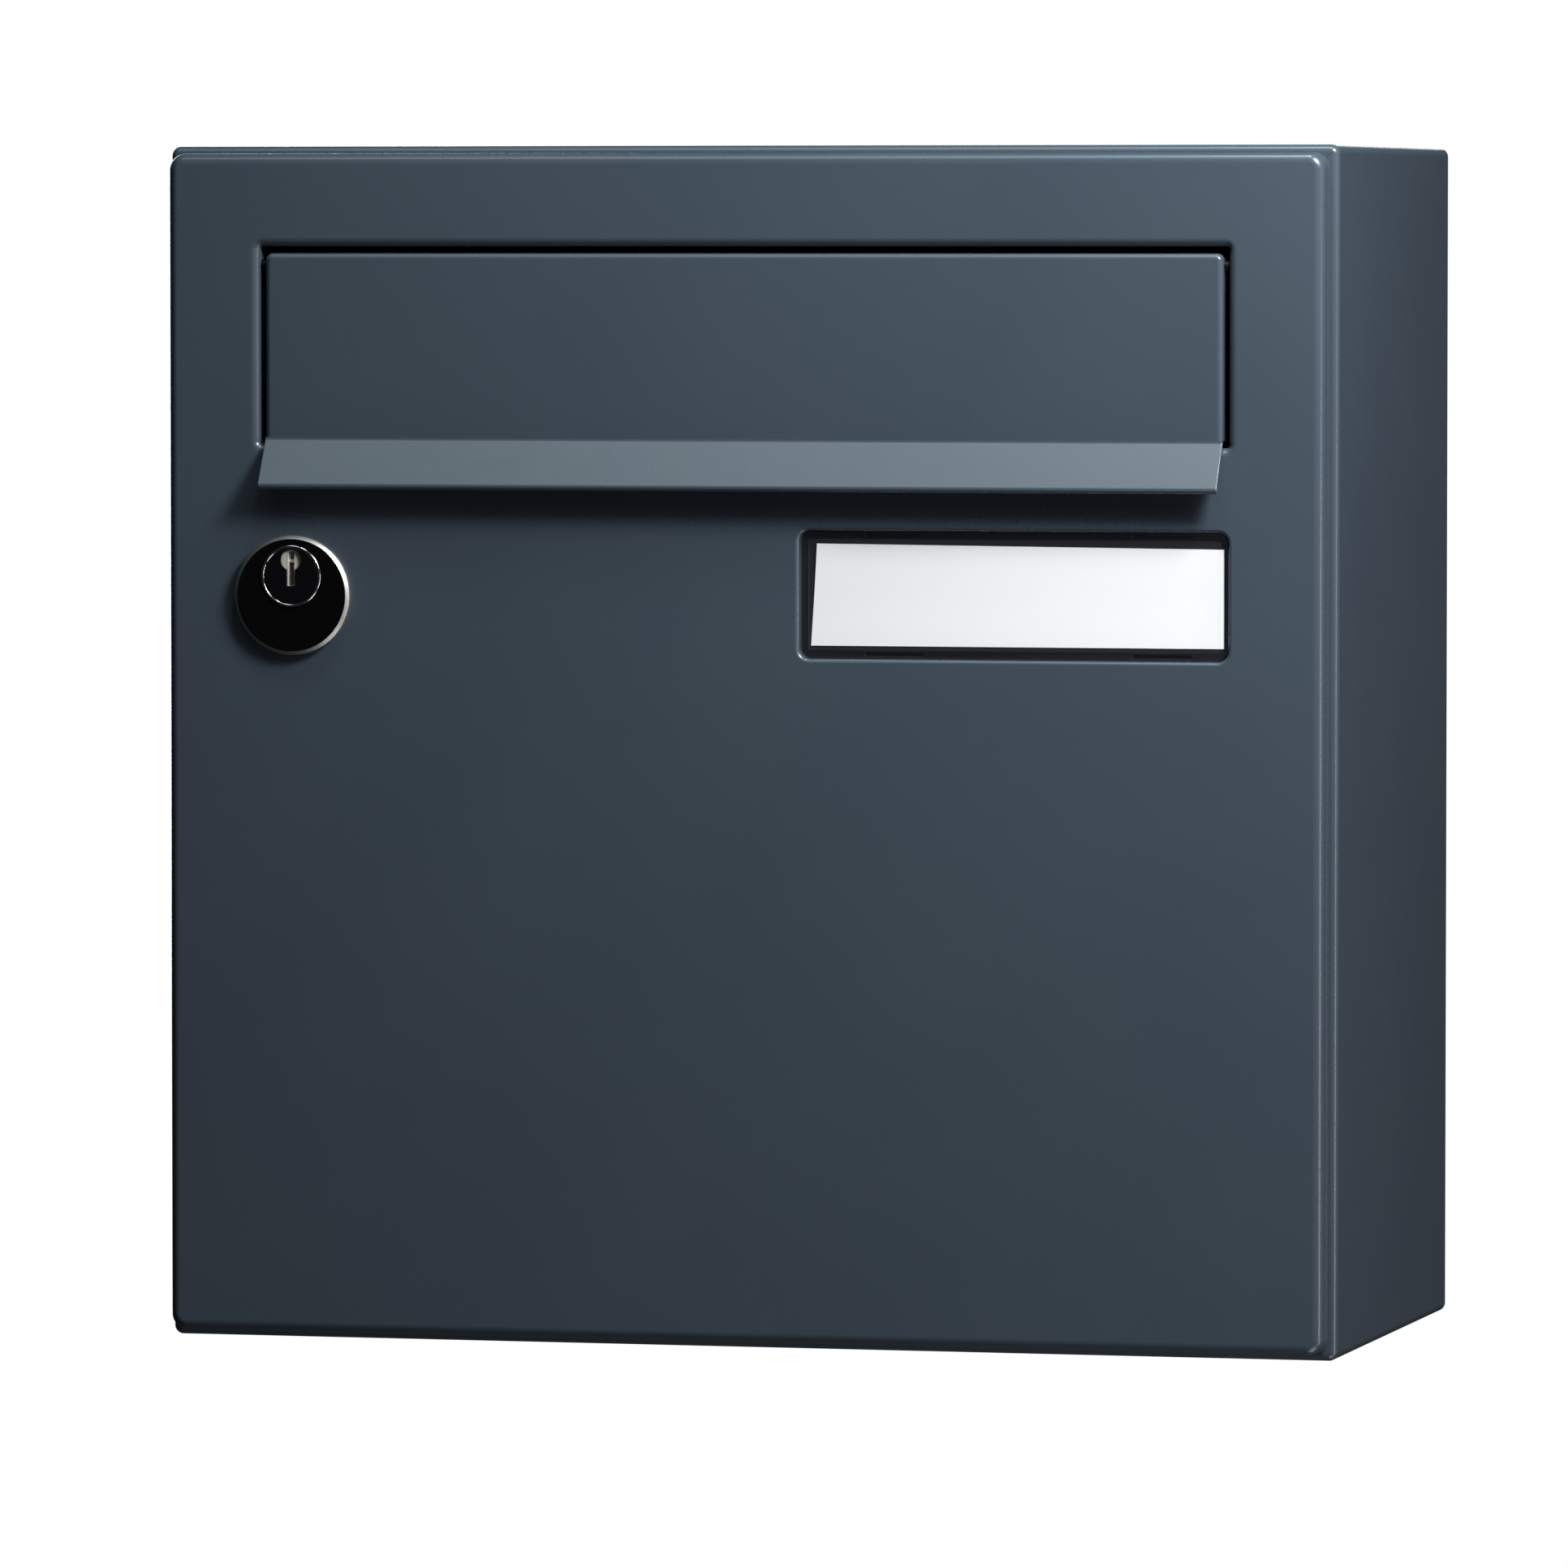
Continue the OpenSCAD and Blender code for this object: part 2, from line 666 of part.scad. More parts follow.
// Escutcheon: a black disc with a bevelled edge and a seat for the ring, set lower than the lock's axis
module lock_escutcheon() {
    r = escutcheon_d / 2;
    color(black) upright() at_lock() difference() {
        translate([0, -escutcheon_offset, door_z]) rotate_extrude()
            polygon([
                [0, 0], [r, 0], [r, escutcheon_t - escutcheon_bevel], [r - escutcheon_bevel, escutcheon_t],
                [0, escutcheon_t]
            ]);
        bar(ring_d / 2 + ring_gap, ring_seat_z, ring_z);
        bar(barrel_d / 2 + ring_gap, door_z - cut, ring_z);
    }
}

// Barrel of the lock with its chromed ring, recessed for the face
module lock_barrel() {
    edge = 0.3;
    color(nickel) upright() at_lock() difference() {
        union() {
            bar(ring_d / 2, ring_seat_z, ring_z - edge);
            translate([0, 0, ring_z - edge]) cylinder(r1 = ring_d / 2, r2 = ring_d / 2 - edge, h = edge);
            translate([0, 0, barrel_back_z]) linear_extrude(ring_seat_z - barrel_back_z)
                double_d(barrel_d / 2, barrel_flats);
        }
        bar(ring_d / 2 - ring_w, recess_z, ring_z + cut);
        bar(plug_d / 2 + running_gap, barrel_back_z - cut, recess_z + cut);
    }
}

// Nut that clamps the barrel to the door
module lock_nut() {
    color(zinc) upright() at_lock() difference() {
        translate([0, 0, door_inner_z - lock_nut_t])
            cylinder(r = lock_nut_flats / 2 / cos(30), h = lock_nut_t, $fn = 6);
        bar(barrel_d / 2, door_inner_z - lock_nut_t - cut, door_inner_z + cut);
    }
}

// Black face of the plug with its keyhole
module lock_face() {
    color(black) upright() at_lock() translate([0, 0, face_z - face_t]) linear_extrude(face_t) difference() {
        circle(face_r);
        translate([0, keyhole_rise]) circle(keyhole_r);
        translate([-keyhole_slot, -keyhole_foot]) square([2 * keyhole_slot, keyhole_foot + keyhole_rise]);
    }
}

// Turning plug: a head behind the face, a body with the keyway, and a square end for the cam
module lock_plug() {
    key_top = plug_d / 2 - keyway_wall;
    key_end_z = barrel_back_z + keyway_floor;
    key_y = -keyhole_foot;
    color(nickel) upright() at_lock() difference() {
        union() {
            bar(head_r, recess_z, face_z - face_t);
            bar(plug_d / 2, plug_back_z, recess_z);
            translate([-cam_square / 2, -cam_square / 2, cam_back_z + square_inset])
                cube([cam_square, cam_square, plug_back_z - cam_back_z - square_inset]);
        }
        translate([-keyway_w / 2, key_y, key_end_z])
            cube([keyway_w, key_top - key_y, ring_z - key_end_z]);
        translate([-keyway_w / 2, key_y, recess_z])
            cube([keyway_w, head_r - keyway_wall - key_y, ring_z - recess_z]);
        at_wafers() cube([wafer_w, wafer_h, wafer_t], center = true);
        bar(screw_d / 2, cam_back_z - cut, cam_back_z + screw_len);
    }
}

// Places its children at the wafers along the plug
module at_wafers()
    for (k = [0 : 3]) translate([0, 0, barrel_back_z + wafer_start + k * wafer_pitch]) children();

// Brass wafers across the keyway, each with a slot for the key
module lock_wafers() {
    color("goldenrod") upright() at_lock() at_wafers() difference() {
        cube([wafer_w, wafer_h, wafer_t], center = true);
        cube([keyway_w + 2 * wafer_slot_gap, wafer_h - 2 * wafer_bridge, wafer_t + cut], center = true);
    }
}

// Washer behind the barrel that limits the plug's turn
module stop_washer() {
    color(zinc) upright() at_lock() translate([0, 0, cam_front_z]) linear_extrude(washer_t) difference() {
        circle(barrel_d / 2 + washer_lap);
        square(cam_square, center = true);
    }
}

// Cam of the lock, hanging down while the door is unlocked
module lock_cam() {
    color(zinc) upright() at_lock() translate([0, 0, cam_back_z]) linear_extrude(cam_t) difference() {
        union() {
            circle(barrel_d / 2 + cam_lap);
            translate([-cam_w / 2, -cam_len + cam_w / 2]) square([cam_w, cam_len - cam_w / 2]);
            translate([0, -cam_len + cam_w / 2]) circle(cam_w / 2);
        }
        square(cam_square, center = true);
    }
}

// Screw that holds the cam on the plug
module cam_screw() {
    color(zinc) upright() at_lock() {
        bar(screw_d / 2, cam_back_z, cam_back_z + screw_len);
        difference() {
            bar(screw_head_d / 2, cam_back_z - screw_head_h, cam_back_z);
            for (turn = [0, 90]) rotate(turn) translate([0, 0, cam_back_z - screw_head_h])
                cube([screw_head_d * screw_cross_share, screw_cross_w, screw_cross_h], center = true);
        }
    }
}

cabinet_shell();
back_panel();
door_bumpers();
upper_hinge_body_leaf();
lower_hinge_body_leaf();
upper_hinge_pin();
lower_hinge_pin();
hinge_rivets();
door_panel();
upper_hinge_door_leaf();
lower_hinge_door_leaf();
weld_studs();
stud_nuts();
theft_guard();
flap_axle();
axle_clips();
flap_buffers();
letter_flap();
label_holder();
label_card();
label_cover();
lock_escutcheon();
lock_barrel();
lock_nut();
lock_face();
lock_plug();
lock_wafers();
stop_washer();
lock_cam();
cam_screw();
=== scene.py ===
import json
import math

import bmesh
import bpy
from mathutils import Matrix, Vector
from mathutils.geometry import tessellate_polygon


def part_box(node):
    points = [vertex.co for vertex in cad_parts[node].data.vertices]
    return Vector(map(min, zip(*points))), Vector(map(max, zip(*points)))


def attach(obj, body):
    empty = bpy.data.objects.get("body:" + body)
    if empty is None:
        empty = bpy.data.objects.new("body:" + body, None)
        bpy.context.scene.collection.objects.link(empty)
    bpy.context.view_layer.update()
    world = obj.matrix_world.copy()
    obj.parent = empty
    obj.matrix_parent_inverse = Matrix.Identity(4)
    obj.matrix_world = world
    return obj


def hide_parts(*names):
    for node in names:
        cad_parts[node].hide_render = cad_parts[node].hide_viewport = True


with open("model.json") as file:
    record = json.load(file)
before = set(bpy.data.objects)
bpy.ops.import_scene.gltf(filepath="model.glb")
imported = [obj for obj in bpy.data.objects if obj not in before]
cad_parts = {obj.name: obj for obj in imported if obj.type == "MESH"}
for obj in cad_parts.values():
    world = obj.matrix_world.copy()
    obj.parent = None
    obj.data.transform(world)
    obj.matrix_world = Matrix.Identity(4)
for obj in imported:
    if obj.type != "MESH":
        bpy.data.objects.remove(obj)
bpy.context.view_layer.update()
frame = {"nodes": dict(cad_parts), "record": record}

# ---------------------------------------------------------------------------------------------
# Studio: the box hangs in front of plain white, over a pale floor that fades out into it.
# A small soft box close by at the upper right does most of the lighting, with one overhead, a
# tall strip at the right and fainter ones round it. Two large ones behind light only the back.
# The camera stands a little to the right.
scene = bpy.context.scene
scene.view_settings.view_transform = "Standard"
scene.view_settings.look = "None"

camera_turn = math.radians(14.175)
camera_rise = math.radians(2.688)
camera_data = bpy.data.cameras.new("camera")
camera_data.sensor_width = 36
camera_data.lens = 268.86
camera_data.clip_end = 50
camera = bpy.data.objects.new("camera", camera_data)
camera.location = (0.9641, -3.9556, 0.1706)
sight = Vector((-math.sin(camera_turn) * math.cos(camera_rise),
                math.cos(camera_turn) * math.cos(camera_rise), -math.sin(camera_rise)))
camera.rotation_mode = "QUATERNION"
camera.rotation_quaternion = sight.to_track_quat("-Z", "Y")
scene.collection.objects.link(camera)
scene.camera = camera


def softbox(name, place, aim, width, height, power, tint):
    """Rectangular soft light that points from its place at its aim"""
    data = bpy.data.lights.new(name, "AREA")
    data.shape = "RECTANGLE"
    data.size, data.size_y = width, height
    data.energy, data.color = power, tint
    light = bpy.data.objects.new(name, data)
    light.location = place
    light.visible_camera = False
    light.rotation_mode = "QUATERNION"
    light.rotation_quaternion = (Vector(aim) - Vector(place)).to_track_quat("-Z", "Y")
    scene.collection.objects.link(light)


cool, clear, warm = (0.92, 1.04, 1.03), (0.98, 1.01, 0.99), (1.08, 0.96, 1.0)
softbox("key_softbox", (0.5, -0.55, 0.6), (0.08, -0.2, 0.05), 0.2, 0.2, 11.5, clear)
softbox("overhead_softbox", (0.1, -0.5, 1.2), (0, -0.2, 0), 0.2, 0.2, 5.5, cool)
softbox("upper_right_softbox", (0.6, -0.8, 0.85), (0, -0.2, 0.05), 0.35, 0.35, 2.8, clear)
softbox("right_softbox", (0.9, -0.72, 0.6), (0, -0.2, 0.05), 0.35, 0.35, 3.2, warm)
softbox("right_strip", (1.25, -0.45, -0.3), (0.1, -0.2, -0.12), 0.15, 0.9, 4.2, warm)
softbox("far_left_softbox", (-0.5, -1.1, 2.2), (0, -0.2, 0.05), 0.8, 0.8, 6, cool)
softbox("low_softbox", (0.42, -0.45, -0.75), (-0.15, -0.2, 0.05), 0.4, 0.4, 1.8, clear)
softbox("back_left_softbox", (-1.3, 2.0, 0.4), (0, 0, 0), 1.2, 1.2, 26, clear)
softbox("back_softbox", (-0.5, 2.5, 0.3), (0, 0, 0), 1.0, 1.0, 12, clear)

world = bpy.data.worlds.new("studio")
world.use_nodes = True
scene.world = world
room = world.node_tree.nodes["Background"]
room.inputs["Color"].default_value = (0.9, 0.95, 1, 1)
room.inputs["Strength"].default_value = 0.02
white = world.node_tree.nodes.new("ShaderNodeBackground")
white.inputs["Color"].default_value = (1, 1, 1, 1)
ray = world.node_tree.nodes.new("ShaderNodeLightPath")
choice = world.node_tree.nodes.new("ShaderNodeMixShader")
world.node_tree.links.new(choice.inputs["Fac"], ray.outputs["Is Camera Ray"])
world.node_tree.links.new(choice.inputs[1], room.outputs["Background"])
world.node_tree.links.new(choice.inputs[2], white.outputs["Background"])
world.node_tree.links.new(world.node_tree.nodes["World Output"].inputs["Surface"], choice.outputs["Shader"])


class Value:
    """What one socket gives. Arithmetic on it adds Math nodes to its finish."""

    def __init__(self, finish, socket):
        self.finish, self.socket = finish, socket

    def math(self, operation, *terms):
        return self.finish.add("Math", {"operation": operation}, dict(enumerate(terms)))

    def __add__(self, other):
        return self.math("ADD", self, other)

    def __mul__(self, other):
        return self.math("MULTIPLY", self, other)

    def __pow__(self, other):
        return self.math("POWER", self, other)

    __radd__, __rmul__ = __add__, __mul__


class Finish:
    """A material round one Principled shader. Its constants sit on the shader's own sockets."""

    def __init__(self, name, constants):
        self.material = bpy.data.materials.new(name)
        self.material.use_nodes = True
        self.tree = self.material.node_tree
        self.shader = self.tree.nodes["Principled BSDF"]
        for socket, value in constants.items():
            self.set(socket, value)

    def set(self, socket, value):
        self.feed(self.shader.inputs[socket], value)

    def feed(self, socket, value):
        if isinstance(value, Value):
            self.tree.links.new(socket, value.socket)
        elif hasattr(value, "__len__") and len(value) == 3 and socket.type == "RGBA":
            socket.default_value = (*value, 1)
        else:
            socket.default_value = value

    def add(self, kind, settings=None, sockets=None, out=0):
        """Adds a node: its settings first, where stops is a ramp's, then its sockets"""
        node = self.tree.nodes.new("ShaderNode" + kind)
        for name, setting in (settings or {}).items():
            if name == "stops":
                for element, (place, colour) in zip(node.color_ramp.elements, setting):
                    element.position, element.color = place, (*colour, 1)
            else:
                setattr(node, name, setting)
        for name, value in (sockets or {}).items():
            self.feed(node.inputs[name], value)
        return Value(self, node.outputs[out])

    def blend(self, share, first, second):
        """Colour between two others"""
        return self.add("Mix", {"data_type": "RGBA"}, {0: share, 6: first, 7: second}, out=2)

    def bump(self, height, distance, strength=1.0):
        """Feeds the normal with a relief of that depth in metres"""
        relief = self.add("Bump", {}, {"Height": height, "Distance": distance, "Strength": strength})
        self.set("Normal", relief)

    def grain(self, size, detail=2.0, stretch=None):
        """Noise whose blotches are about that size in metres, from 0 to 1"""
        place = self.add("TexCoord", out="Object")
        if stretch:
            place = self.add("Mapping", {}, {"Vector": place, "Scale": stretch})
        return self.add("TexNoise", {}, {"Vector": place, "Scale": 1 / size, "Detail": detail})


floor_drop, floor_r, floor_fade = 0.9, 2.2, 1.2
floor_mesh = bpy.data.meshes.new("floor")
disc = bmesh.new()
bmesh.ops.create_circle(disc, cap_ends=True, segments=96, radius=floor_r)
disc.to_mesh(floor_mesh)
disc.free()
floor = bpy.data.objects.new("floor", floor_mesh)
floor.location = (0, 0, -floor_drop)
floor.visible_diffuse = False
floor.visible_glossy = False
scene.collection.objects.link(floor)
pale = Finish("pale_floor", {"Base Color": (0.75, 0.75, 0.75), "Roughness": 0.8})
spot = pale.add("TexCoord", out="Object")
away = pale.add("VectorMath", {"operation": "LENGTH"}, {0: spot}, out="Value")
fade = pale.add("MapRange", {"interpolation_type": "SMOOTHSTEP"},
                {"Value": away, "From Min": floor_fade, "From Max": floor_r, "To Min": 1.0, "To Max": 0.0})
pale.set("Alpha", fade)
floor_mesh.materials.append(pale.material)

# ---------------------------------------------------------------------------------------------
# Cabinet shell: one strip of 1 mm steel folded round the four sides, its front edge turned in
# as a rim that is mitred and welded at the corners. Faint dimples near the wall are the spot
# welds that hold the back panel. It is powder coated in satin anthracite after welding.
mm = 0.001
sheet = 1 * mm
cut_edge = 0.2 * mm
shell_low, shell_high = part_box("cabinet_shell")
shell_w, shell_h = shell_high.x, shell_high.z
shell_d = -shell_low.y
shell_corner_r, rim_bend_r = 3 * mm, 2.5 * mm
rim_w, rim_corner_r = 20 * mm, 3 * mm


def arc(across, depth, radius, start, end, steps=8):
    """Points of an arc in a section, as (across, depth), between two angles in degrees"""
    angles = [math.radians(start + (end - start) * k / steps) for k in range(steps + 1)]
    return [(across + radius * math.cos(a), depth + radius * math.sin(a)) for a in angles]


def ring(half_w, half_h, radius, depth, middle=(0, 0), steps=8):
    """Rounded rectangle seen from the front, as points at one depth out of the wall"""
    points = []
    for quarter, (right, up) in enumerate([(1, 1), (-1, 1), (-1, -1), (1, -1)]):
        for across, rise in arc(right * (half_w - radius), up * (half_h - radius), radius,
                                90 * quarter, 90 * quarter + 90, steps):
            points.append(Vector((middle[0] + across, -depth, middle[1] + rise)))
    return points


def skin(mesh, rows, round_again=True, closed=True):
    """Faces between rows of points. A closed row meets itself, and round_again joins the last
    row to the first."""
    made = [[mesh.verts.new(point) for point in row] for row in rows]
    following = made[1:] + made[:1] if round_again else made[1:]
    for row, other in zip(made, following):
        for k in range(len(row) if closed else len(row) - 1):
            j = (k + 1) % len(row)
            mesh.faces.new((row[k], row[j], other[j], other[k]))
    return made


def to_object(name, mesh):
    """Object from mesh code, with its faces turned outward"""
    bmesh.ops.recalc_face_normals(mesh, faces=mesh.faces)
    data = bpy.data.meshes.new(name)
    mesh.to_mesh(data)
    mesh.free()
    made = bpy.data.objects.new(name, data)
    scene.collection.objects.link(made)
    return made


def settle(piece):
    """Turns a piece's modifiers into its mesh"""
    graph = bpy.context.evaluated_depsgraph_get()
    piece.data = bpy.data.meshes.new_from_object(piece.evaluated_get(graph))
    piece.modifiers.clear()


def carve(piece, tool, operation="DIFFERENCE"):
    """Cuts a tool's shape out of a piece, or joins it on, and drops the tool"""
    modifier = piece.modifiers.new("carve", "BOOLEAN")
    modifier.operation, modifier.object, modifier.solver = operation, tool, "EXACT"
    settle(piece)
    bpy.data.objects.remove(tool)


def revolve(mesh, profile, middle, axis="Y", segments=48):
    """Turns a section, as (radius, distance along the axis), round that axis through a point"""
    rows = []
    for radius, along in profile:
        row = []
        for k in range(segments):
            a = math.tau * k / segments
            u, v = radius * math.cos(a), radius * math.sin(a)
            offset = {"X": (along, u, v), "Y": (u, -along, v), "Z": (u, v, along)}[axis]
            row.append(Vector(middle) + Vector(offset))
        rows.append(row)
    solid_ends = [profile[0][0] < 1e-7, profile[-1][0] < 1e-7]
    rows = rows[1 if solid_ends[0] else 0: len(rows) - (1 if solid_ends[1] else 0)]
    made = skin(mesh, rows, round_again=not any(solid_ends))
    for solid, row in zip(solid_ends, (made[0], made[-1])):
        if solid:
            mesh.faces.new(row)


def finished(piece, finish, body, slot, *replaced):
    """Smooth shading with crisp edges, the finish, the body that carries it and the CAD it stands for"""
    data = piece.data
    data.materials.clear()
    data.materials.append(finish.material)
    data.shade_smooth()
    data.set_sharp_from_angle(angle=math.radians(40))
    flats = piece.modifiers.new("flats", "WEIGHTED_NORMAL")
    flats.keep_sharp = True
    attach(piece, body)
    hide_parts(*replaced)
    return piece


def powder_coat():
    """Satin anthracite powder coat: a fine orange peel and a colour that drifts slightly"""
    finish = Finish("powder_coat", {"Specular IOR Level": 0.5})
    drift = finish.grain(60 * mm, 3)
    finish.set("Base Color", finish.blend(drift, (0.036, 0.050, 0.068), (0.043, 0.058, 0.075)))
    peel = finish.grain(1.1 * mm, 2)
    speck = finish.grain(0.25 * mm, 1)
    finish.set("Roughness", 0.25 + 0.05 * finish.grain(9 * mm, 3))
    finish.bump(peel + 0.3 * speck, 0.004 * mm)
    return finish


paint = powder_coat()

shell_section = (
    arc(cut_edge, cut_edge, cut_edge, 270, 180, 2)
    + arc(rim_bend_r, shell_d - rim_bend_r, rim_bend_r, 180, 90)
    + arc(rim_w - cut_edge, shell_d - cut_edge, cut_edge, 90, 0, 2)
    + arc(rim_w - cut_edge, shell_d - sheet + cut_edge, cut_edge, 0, -90, 2)
    + arc(rim_bend_r, shell_d - rim_bend_r, rim_bend_r - sheet, 90, 180)
    + arc(sheet - cut_edge, cut_edge, cut_edge, 0, -90, 2))


def shell_corner(inset):
    """Corner radius of the shell at an inset from its outside"""
    bent = min(inset, rim_bend_r)
    flat = (inset - bent) / (rim_w - rim_bend_r)
    return shell_corner_r - bent + (rim_corner_r - shell_corner_r + rim_bend_r) * flat


build = bmesh.new()
skin(build, [ring(shell_w - inset, shell_h - inset, shell_corner(inset), depth)
             for inset, depth in shell_section])
cabinet_shell = to_object("painted_cabinet_shell", build)

weld_r, weld_depth, weld_inset = 2.4 * mm, 0.06 * mm, 6 * mm
dimple = [(0, -weld_depth), (weld_r * 0.6, -weld_depth * 0.7), (weld_r, 0), (weld_r, 1 * mm), (0, 1 * mm)]
marks = bmesh.new()
for along in (-150 * mm, -50 * mm, 50 * mm, 150 * mm):
    for side in (-1, 1):
        flipped = [(radius, side * rise) for radius, rise in dimple]
        revolve(marks, flipped, (side * shell_w, -weld_inset, along), "X", 24)
        revolve(marks, flipped, (along, -weld_inset, side * shell_h), "Z", 24)
carve(cabinet_shell, to_object("weld_marks", marks))

seam_w, seam_depth = 0.35 * mm, 0.3 * mm
seams = bmesh.new()
for right in (-1, 1):
    for up in (-1, 1):
        start = Vector((right * (shell_w - rim_bend_r), -shell_d, up * (shell_h - rim_bend_r)))
        run = Vector((-right, 0, -up)) * (rim_w - rim_bend_r + 1 * mm)
        width = Vector((up, 0, -right)).normalized() * seam_w / 2
        rise = Vector((0, 1, 0))
        section = [start - width - rise * seam_depth * 3, start + width - rise * seam_depth * 3,
                   start + rise * seam_depth]
        skin(seams, [section, [point + run for point in section]], round_again=False)
        seams.verts.ensure_lookup_table()
        for end in (seams.verts[-6:-3], seams.verts[-3:]):
            seams.faces.new(end)
carve(cabinet_shell, to_object("rim_seams", seams))
finished(cabinet_shell, paint, "cabinet", "powder_coat", "cabinet_shell")

# ---------------------------------------------------------------------------------------------
# Back panel: a shallow tray of the same sheet, spot-welded inside the shell with its edge
# turned forward. A shallow pad is pressed round each of its four wall holes, and it is coated
# together with the shell.
tray_low, tray_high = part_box("back_panel")
tray_r, tray_bend = shell_corner_r - sheet, 1.5 * mm
hole_r = frame["record"]["mounts"][0]["dims"]["hole_r_mm"] * mm
hole_x = frame["record"]["mounts"][0]["dims"]["spacing_x_mm"] * mm / 2
hole_z = frame["record"]["mounts"][0]["dims"]["spacing_y_mm"] * mm / 2
pad_r, pad_slope, pad_rise = 9 * mm, 2.5 * mm, 0.6 * mm


def plate(mesh, outline, holes, facing):
    """Flat face inside an outline with holes in it, on vertices that are there already"""
    loops = [outline] + holes
    flat = [vertex for loop in loops for vertex in loop]
    for corners in tessellate_polygon([[vertex.co for vertex in loop] for loop in loops]):
        face = mesh.faces.new([flat[k] for k in corners])
        face.normal_update()
        if face.normal.dot(facing) < 0:
            face.normal_flip()


def circle(radius, depth, middle, steps=40):
    """Circle seen from the front, as points at one depth out of the wall"""
    angles = [math.tau * k / steps for k in range(steps)]
    return [Vector((middle[0] + radius * math.cos(a), -depth, middle[1] + radius * math.sin(a)))
            for a in angles]


build = bmesh.new()
tray_section = (
    [(tray_bend, sheet)]
    + arc(tray_bend, tray_bend, tray_bend - sheet, 270, 180)
    + arc(sheet - cut_edge, -tray_low.y - cut_edge, cut_edge, 0, 90, 2)
    + arc(cut_edge, -tray_low.y - cut_edge, cut_edge, 90, 180, 2)
    + arc(tray_bend, tray_bend, tray_bend, 180, 270))
rows = skin(build, [ring(tray_high.x - inset, tray_high.z - inset, tray_r - inset, depth)
                    for inset, depth in tray_section[1:]], round_again=False)
inner_holes, outer_holes = [], []
for right in (-1, 1):
    for up in (-1, 1):
        middle = (right * hole_x, up * hole_z)
        pad = skin(build, [circle(pad_r, sheet, middle), circle(pad_r - pad_slope, sheet + pad_rise, middle),
                           circle(hole_r + cut_edge, sheet + pad_rise, middle),
                           circle(hole_r, sheet + pad_rise - cut_edge, middle),
                           circle(hole_r, pad_rise + cut_edge, middle),
                           circle(hole_r + cut_edge, pad_rise, middle),
                           circle(pad_r - pad_slope, pad_rise, middle), circle(pad_r, 0, middle)],
                   round_again=False)
        inner_holes.append(pad[0])
        outer_holes.append(pad[-1])
plate(build, rows[0], inner_holes, Vector((0, -1, 0)))
plate(build, rows[-1], outer_holes, Vector((0, 1, 0)))
finished(to_object("painted_back_panel", build), paint, "cabinet", "powder_coat", "back_panel")

# ---------------------------------------------------------------------------------------------
# Door bumpers: two soft black rubber buttons stuck on the rim under the door's free edge, so
# that it shuts without a clang. Each is a low moulded dome with a rounded shoulder.
bumper_low, bumper_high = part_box("door_bumpers")
bumper_r = (bumper_high.x - bumper_low.x) / 2
bumper_h = bumper_high.y - bumper_low.y


def rubber():
    """Matt black rubber with a dusty bloom"""
    finish = Finish("black_rubber", {"Specular IOR Level": 0.35})
    bloom = finish.grain(2 * mm, 4)
    finish.set("Base Color", finish.blend(bloom, (0.014, 0.014, 0.015), (0.028, 0.028, 0.029)))
    finish.set("Roughness", 0.68 + 0.2 * bloom)
    finish.bump(finish.grain(0.3 * mm, 3), 0.02 * mm)
    return finish


black_rubber = rubber()
build = bmesh.new()
for height in (bumper_low.z + bumper_r, bumper_high.z - bumper_r):
    section = ([(0, 0), (bumper_r, 0)] + arc(bumper_r - 0.7 * mm, bumper_h - 0.95 * mm, 0.7 * mm, 0, 80, 5)
               + [(bumper_r * 0.4, bumper_h - 0.06 * mm), (0, bumper_h - 0.02 * mm)])
    revolve(build, section, (bumper_low.x + bumper_r, bumper_high.y, height), "Y", 40)
finished(to_object("rubber_door_bumpers", build), black_rubber, "cabinet", "rubber", "door_bumpers")

# ---------------------------------------------------------------------------------------------
# Hinges: two zinc-plated steel butt hinges inside the door's right edge. The body leaves are
# cranked straps riveted to the rim, the door leaves are spot-welded behind the door's face,
# and each turns on a headed pin that is held in the body leaf's knuckles.


def softened(node, width, segments=2):
    """Copy of a CAD node's shape with its crisp edges broken, as deburring or moulding does"""
    build = bmesh.new()
    build.from_mesh(frame["nodes"][node].data)
    bmesh.ops.remove_doubles(build, verts=build.verts, dist=0.002 * mm)
    bmesh.ops.dissolve_limit(build, angle_limit=math.radians(1), verts=build.verts, edges=build.edges)
    piece = to_object("finished_" + node, build)
    edges = piece.modifiers.new("edges", "BEVEL")
    edges.width, edges.segments = width, segments
    edges.limit_method, edges.angle_limit = "ANGLE", math.radians(32)
    settle(piece)
    return piece


def zinc_plate():
    """Bright zinc plating, slightly cloudy, with the rolling marks of the sheet under it"""
    finish = Finish("zinc_plate", {"Metallic": 1.0})
    cloud = finish.grain(7 * mm, 4)
    finish.set("Base Color", finish.blend(cloud, (0.50, 0.52, 0.54), (0.64, 0.64, 0.62)))
    rolled = finish.grain(0.8 * mm, 3, (0.06, 1, 1))
    finish.set("Roughness", 0.26 + 0.2 * cloud)
    finish.bump(rolled, 0.006 * mm)
    return finish


zinc = zinc_plate()
for end in ("upper", "lower"):
    finished(softened(f"{end}_hinge_body_leaf", 0.12 * mm), zinc, "cabinet", "zinc_steel",
             f"{end}_hinge_body_leaf")
    finished(softened(f"{end}_hinge_door_leaf", 0.12 * mm), zinc, "door", "zinc_steel",
             f"{end}_hinge_door_leaf")
    finished(softened(f"{end}_hinge_pin", 0.2 * mm), zinc, "cabinet", "zinc_steel", f"{end}_hinge_pin")

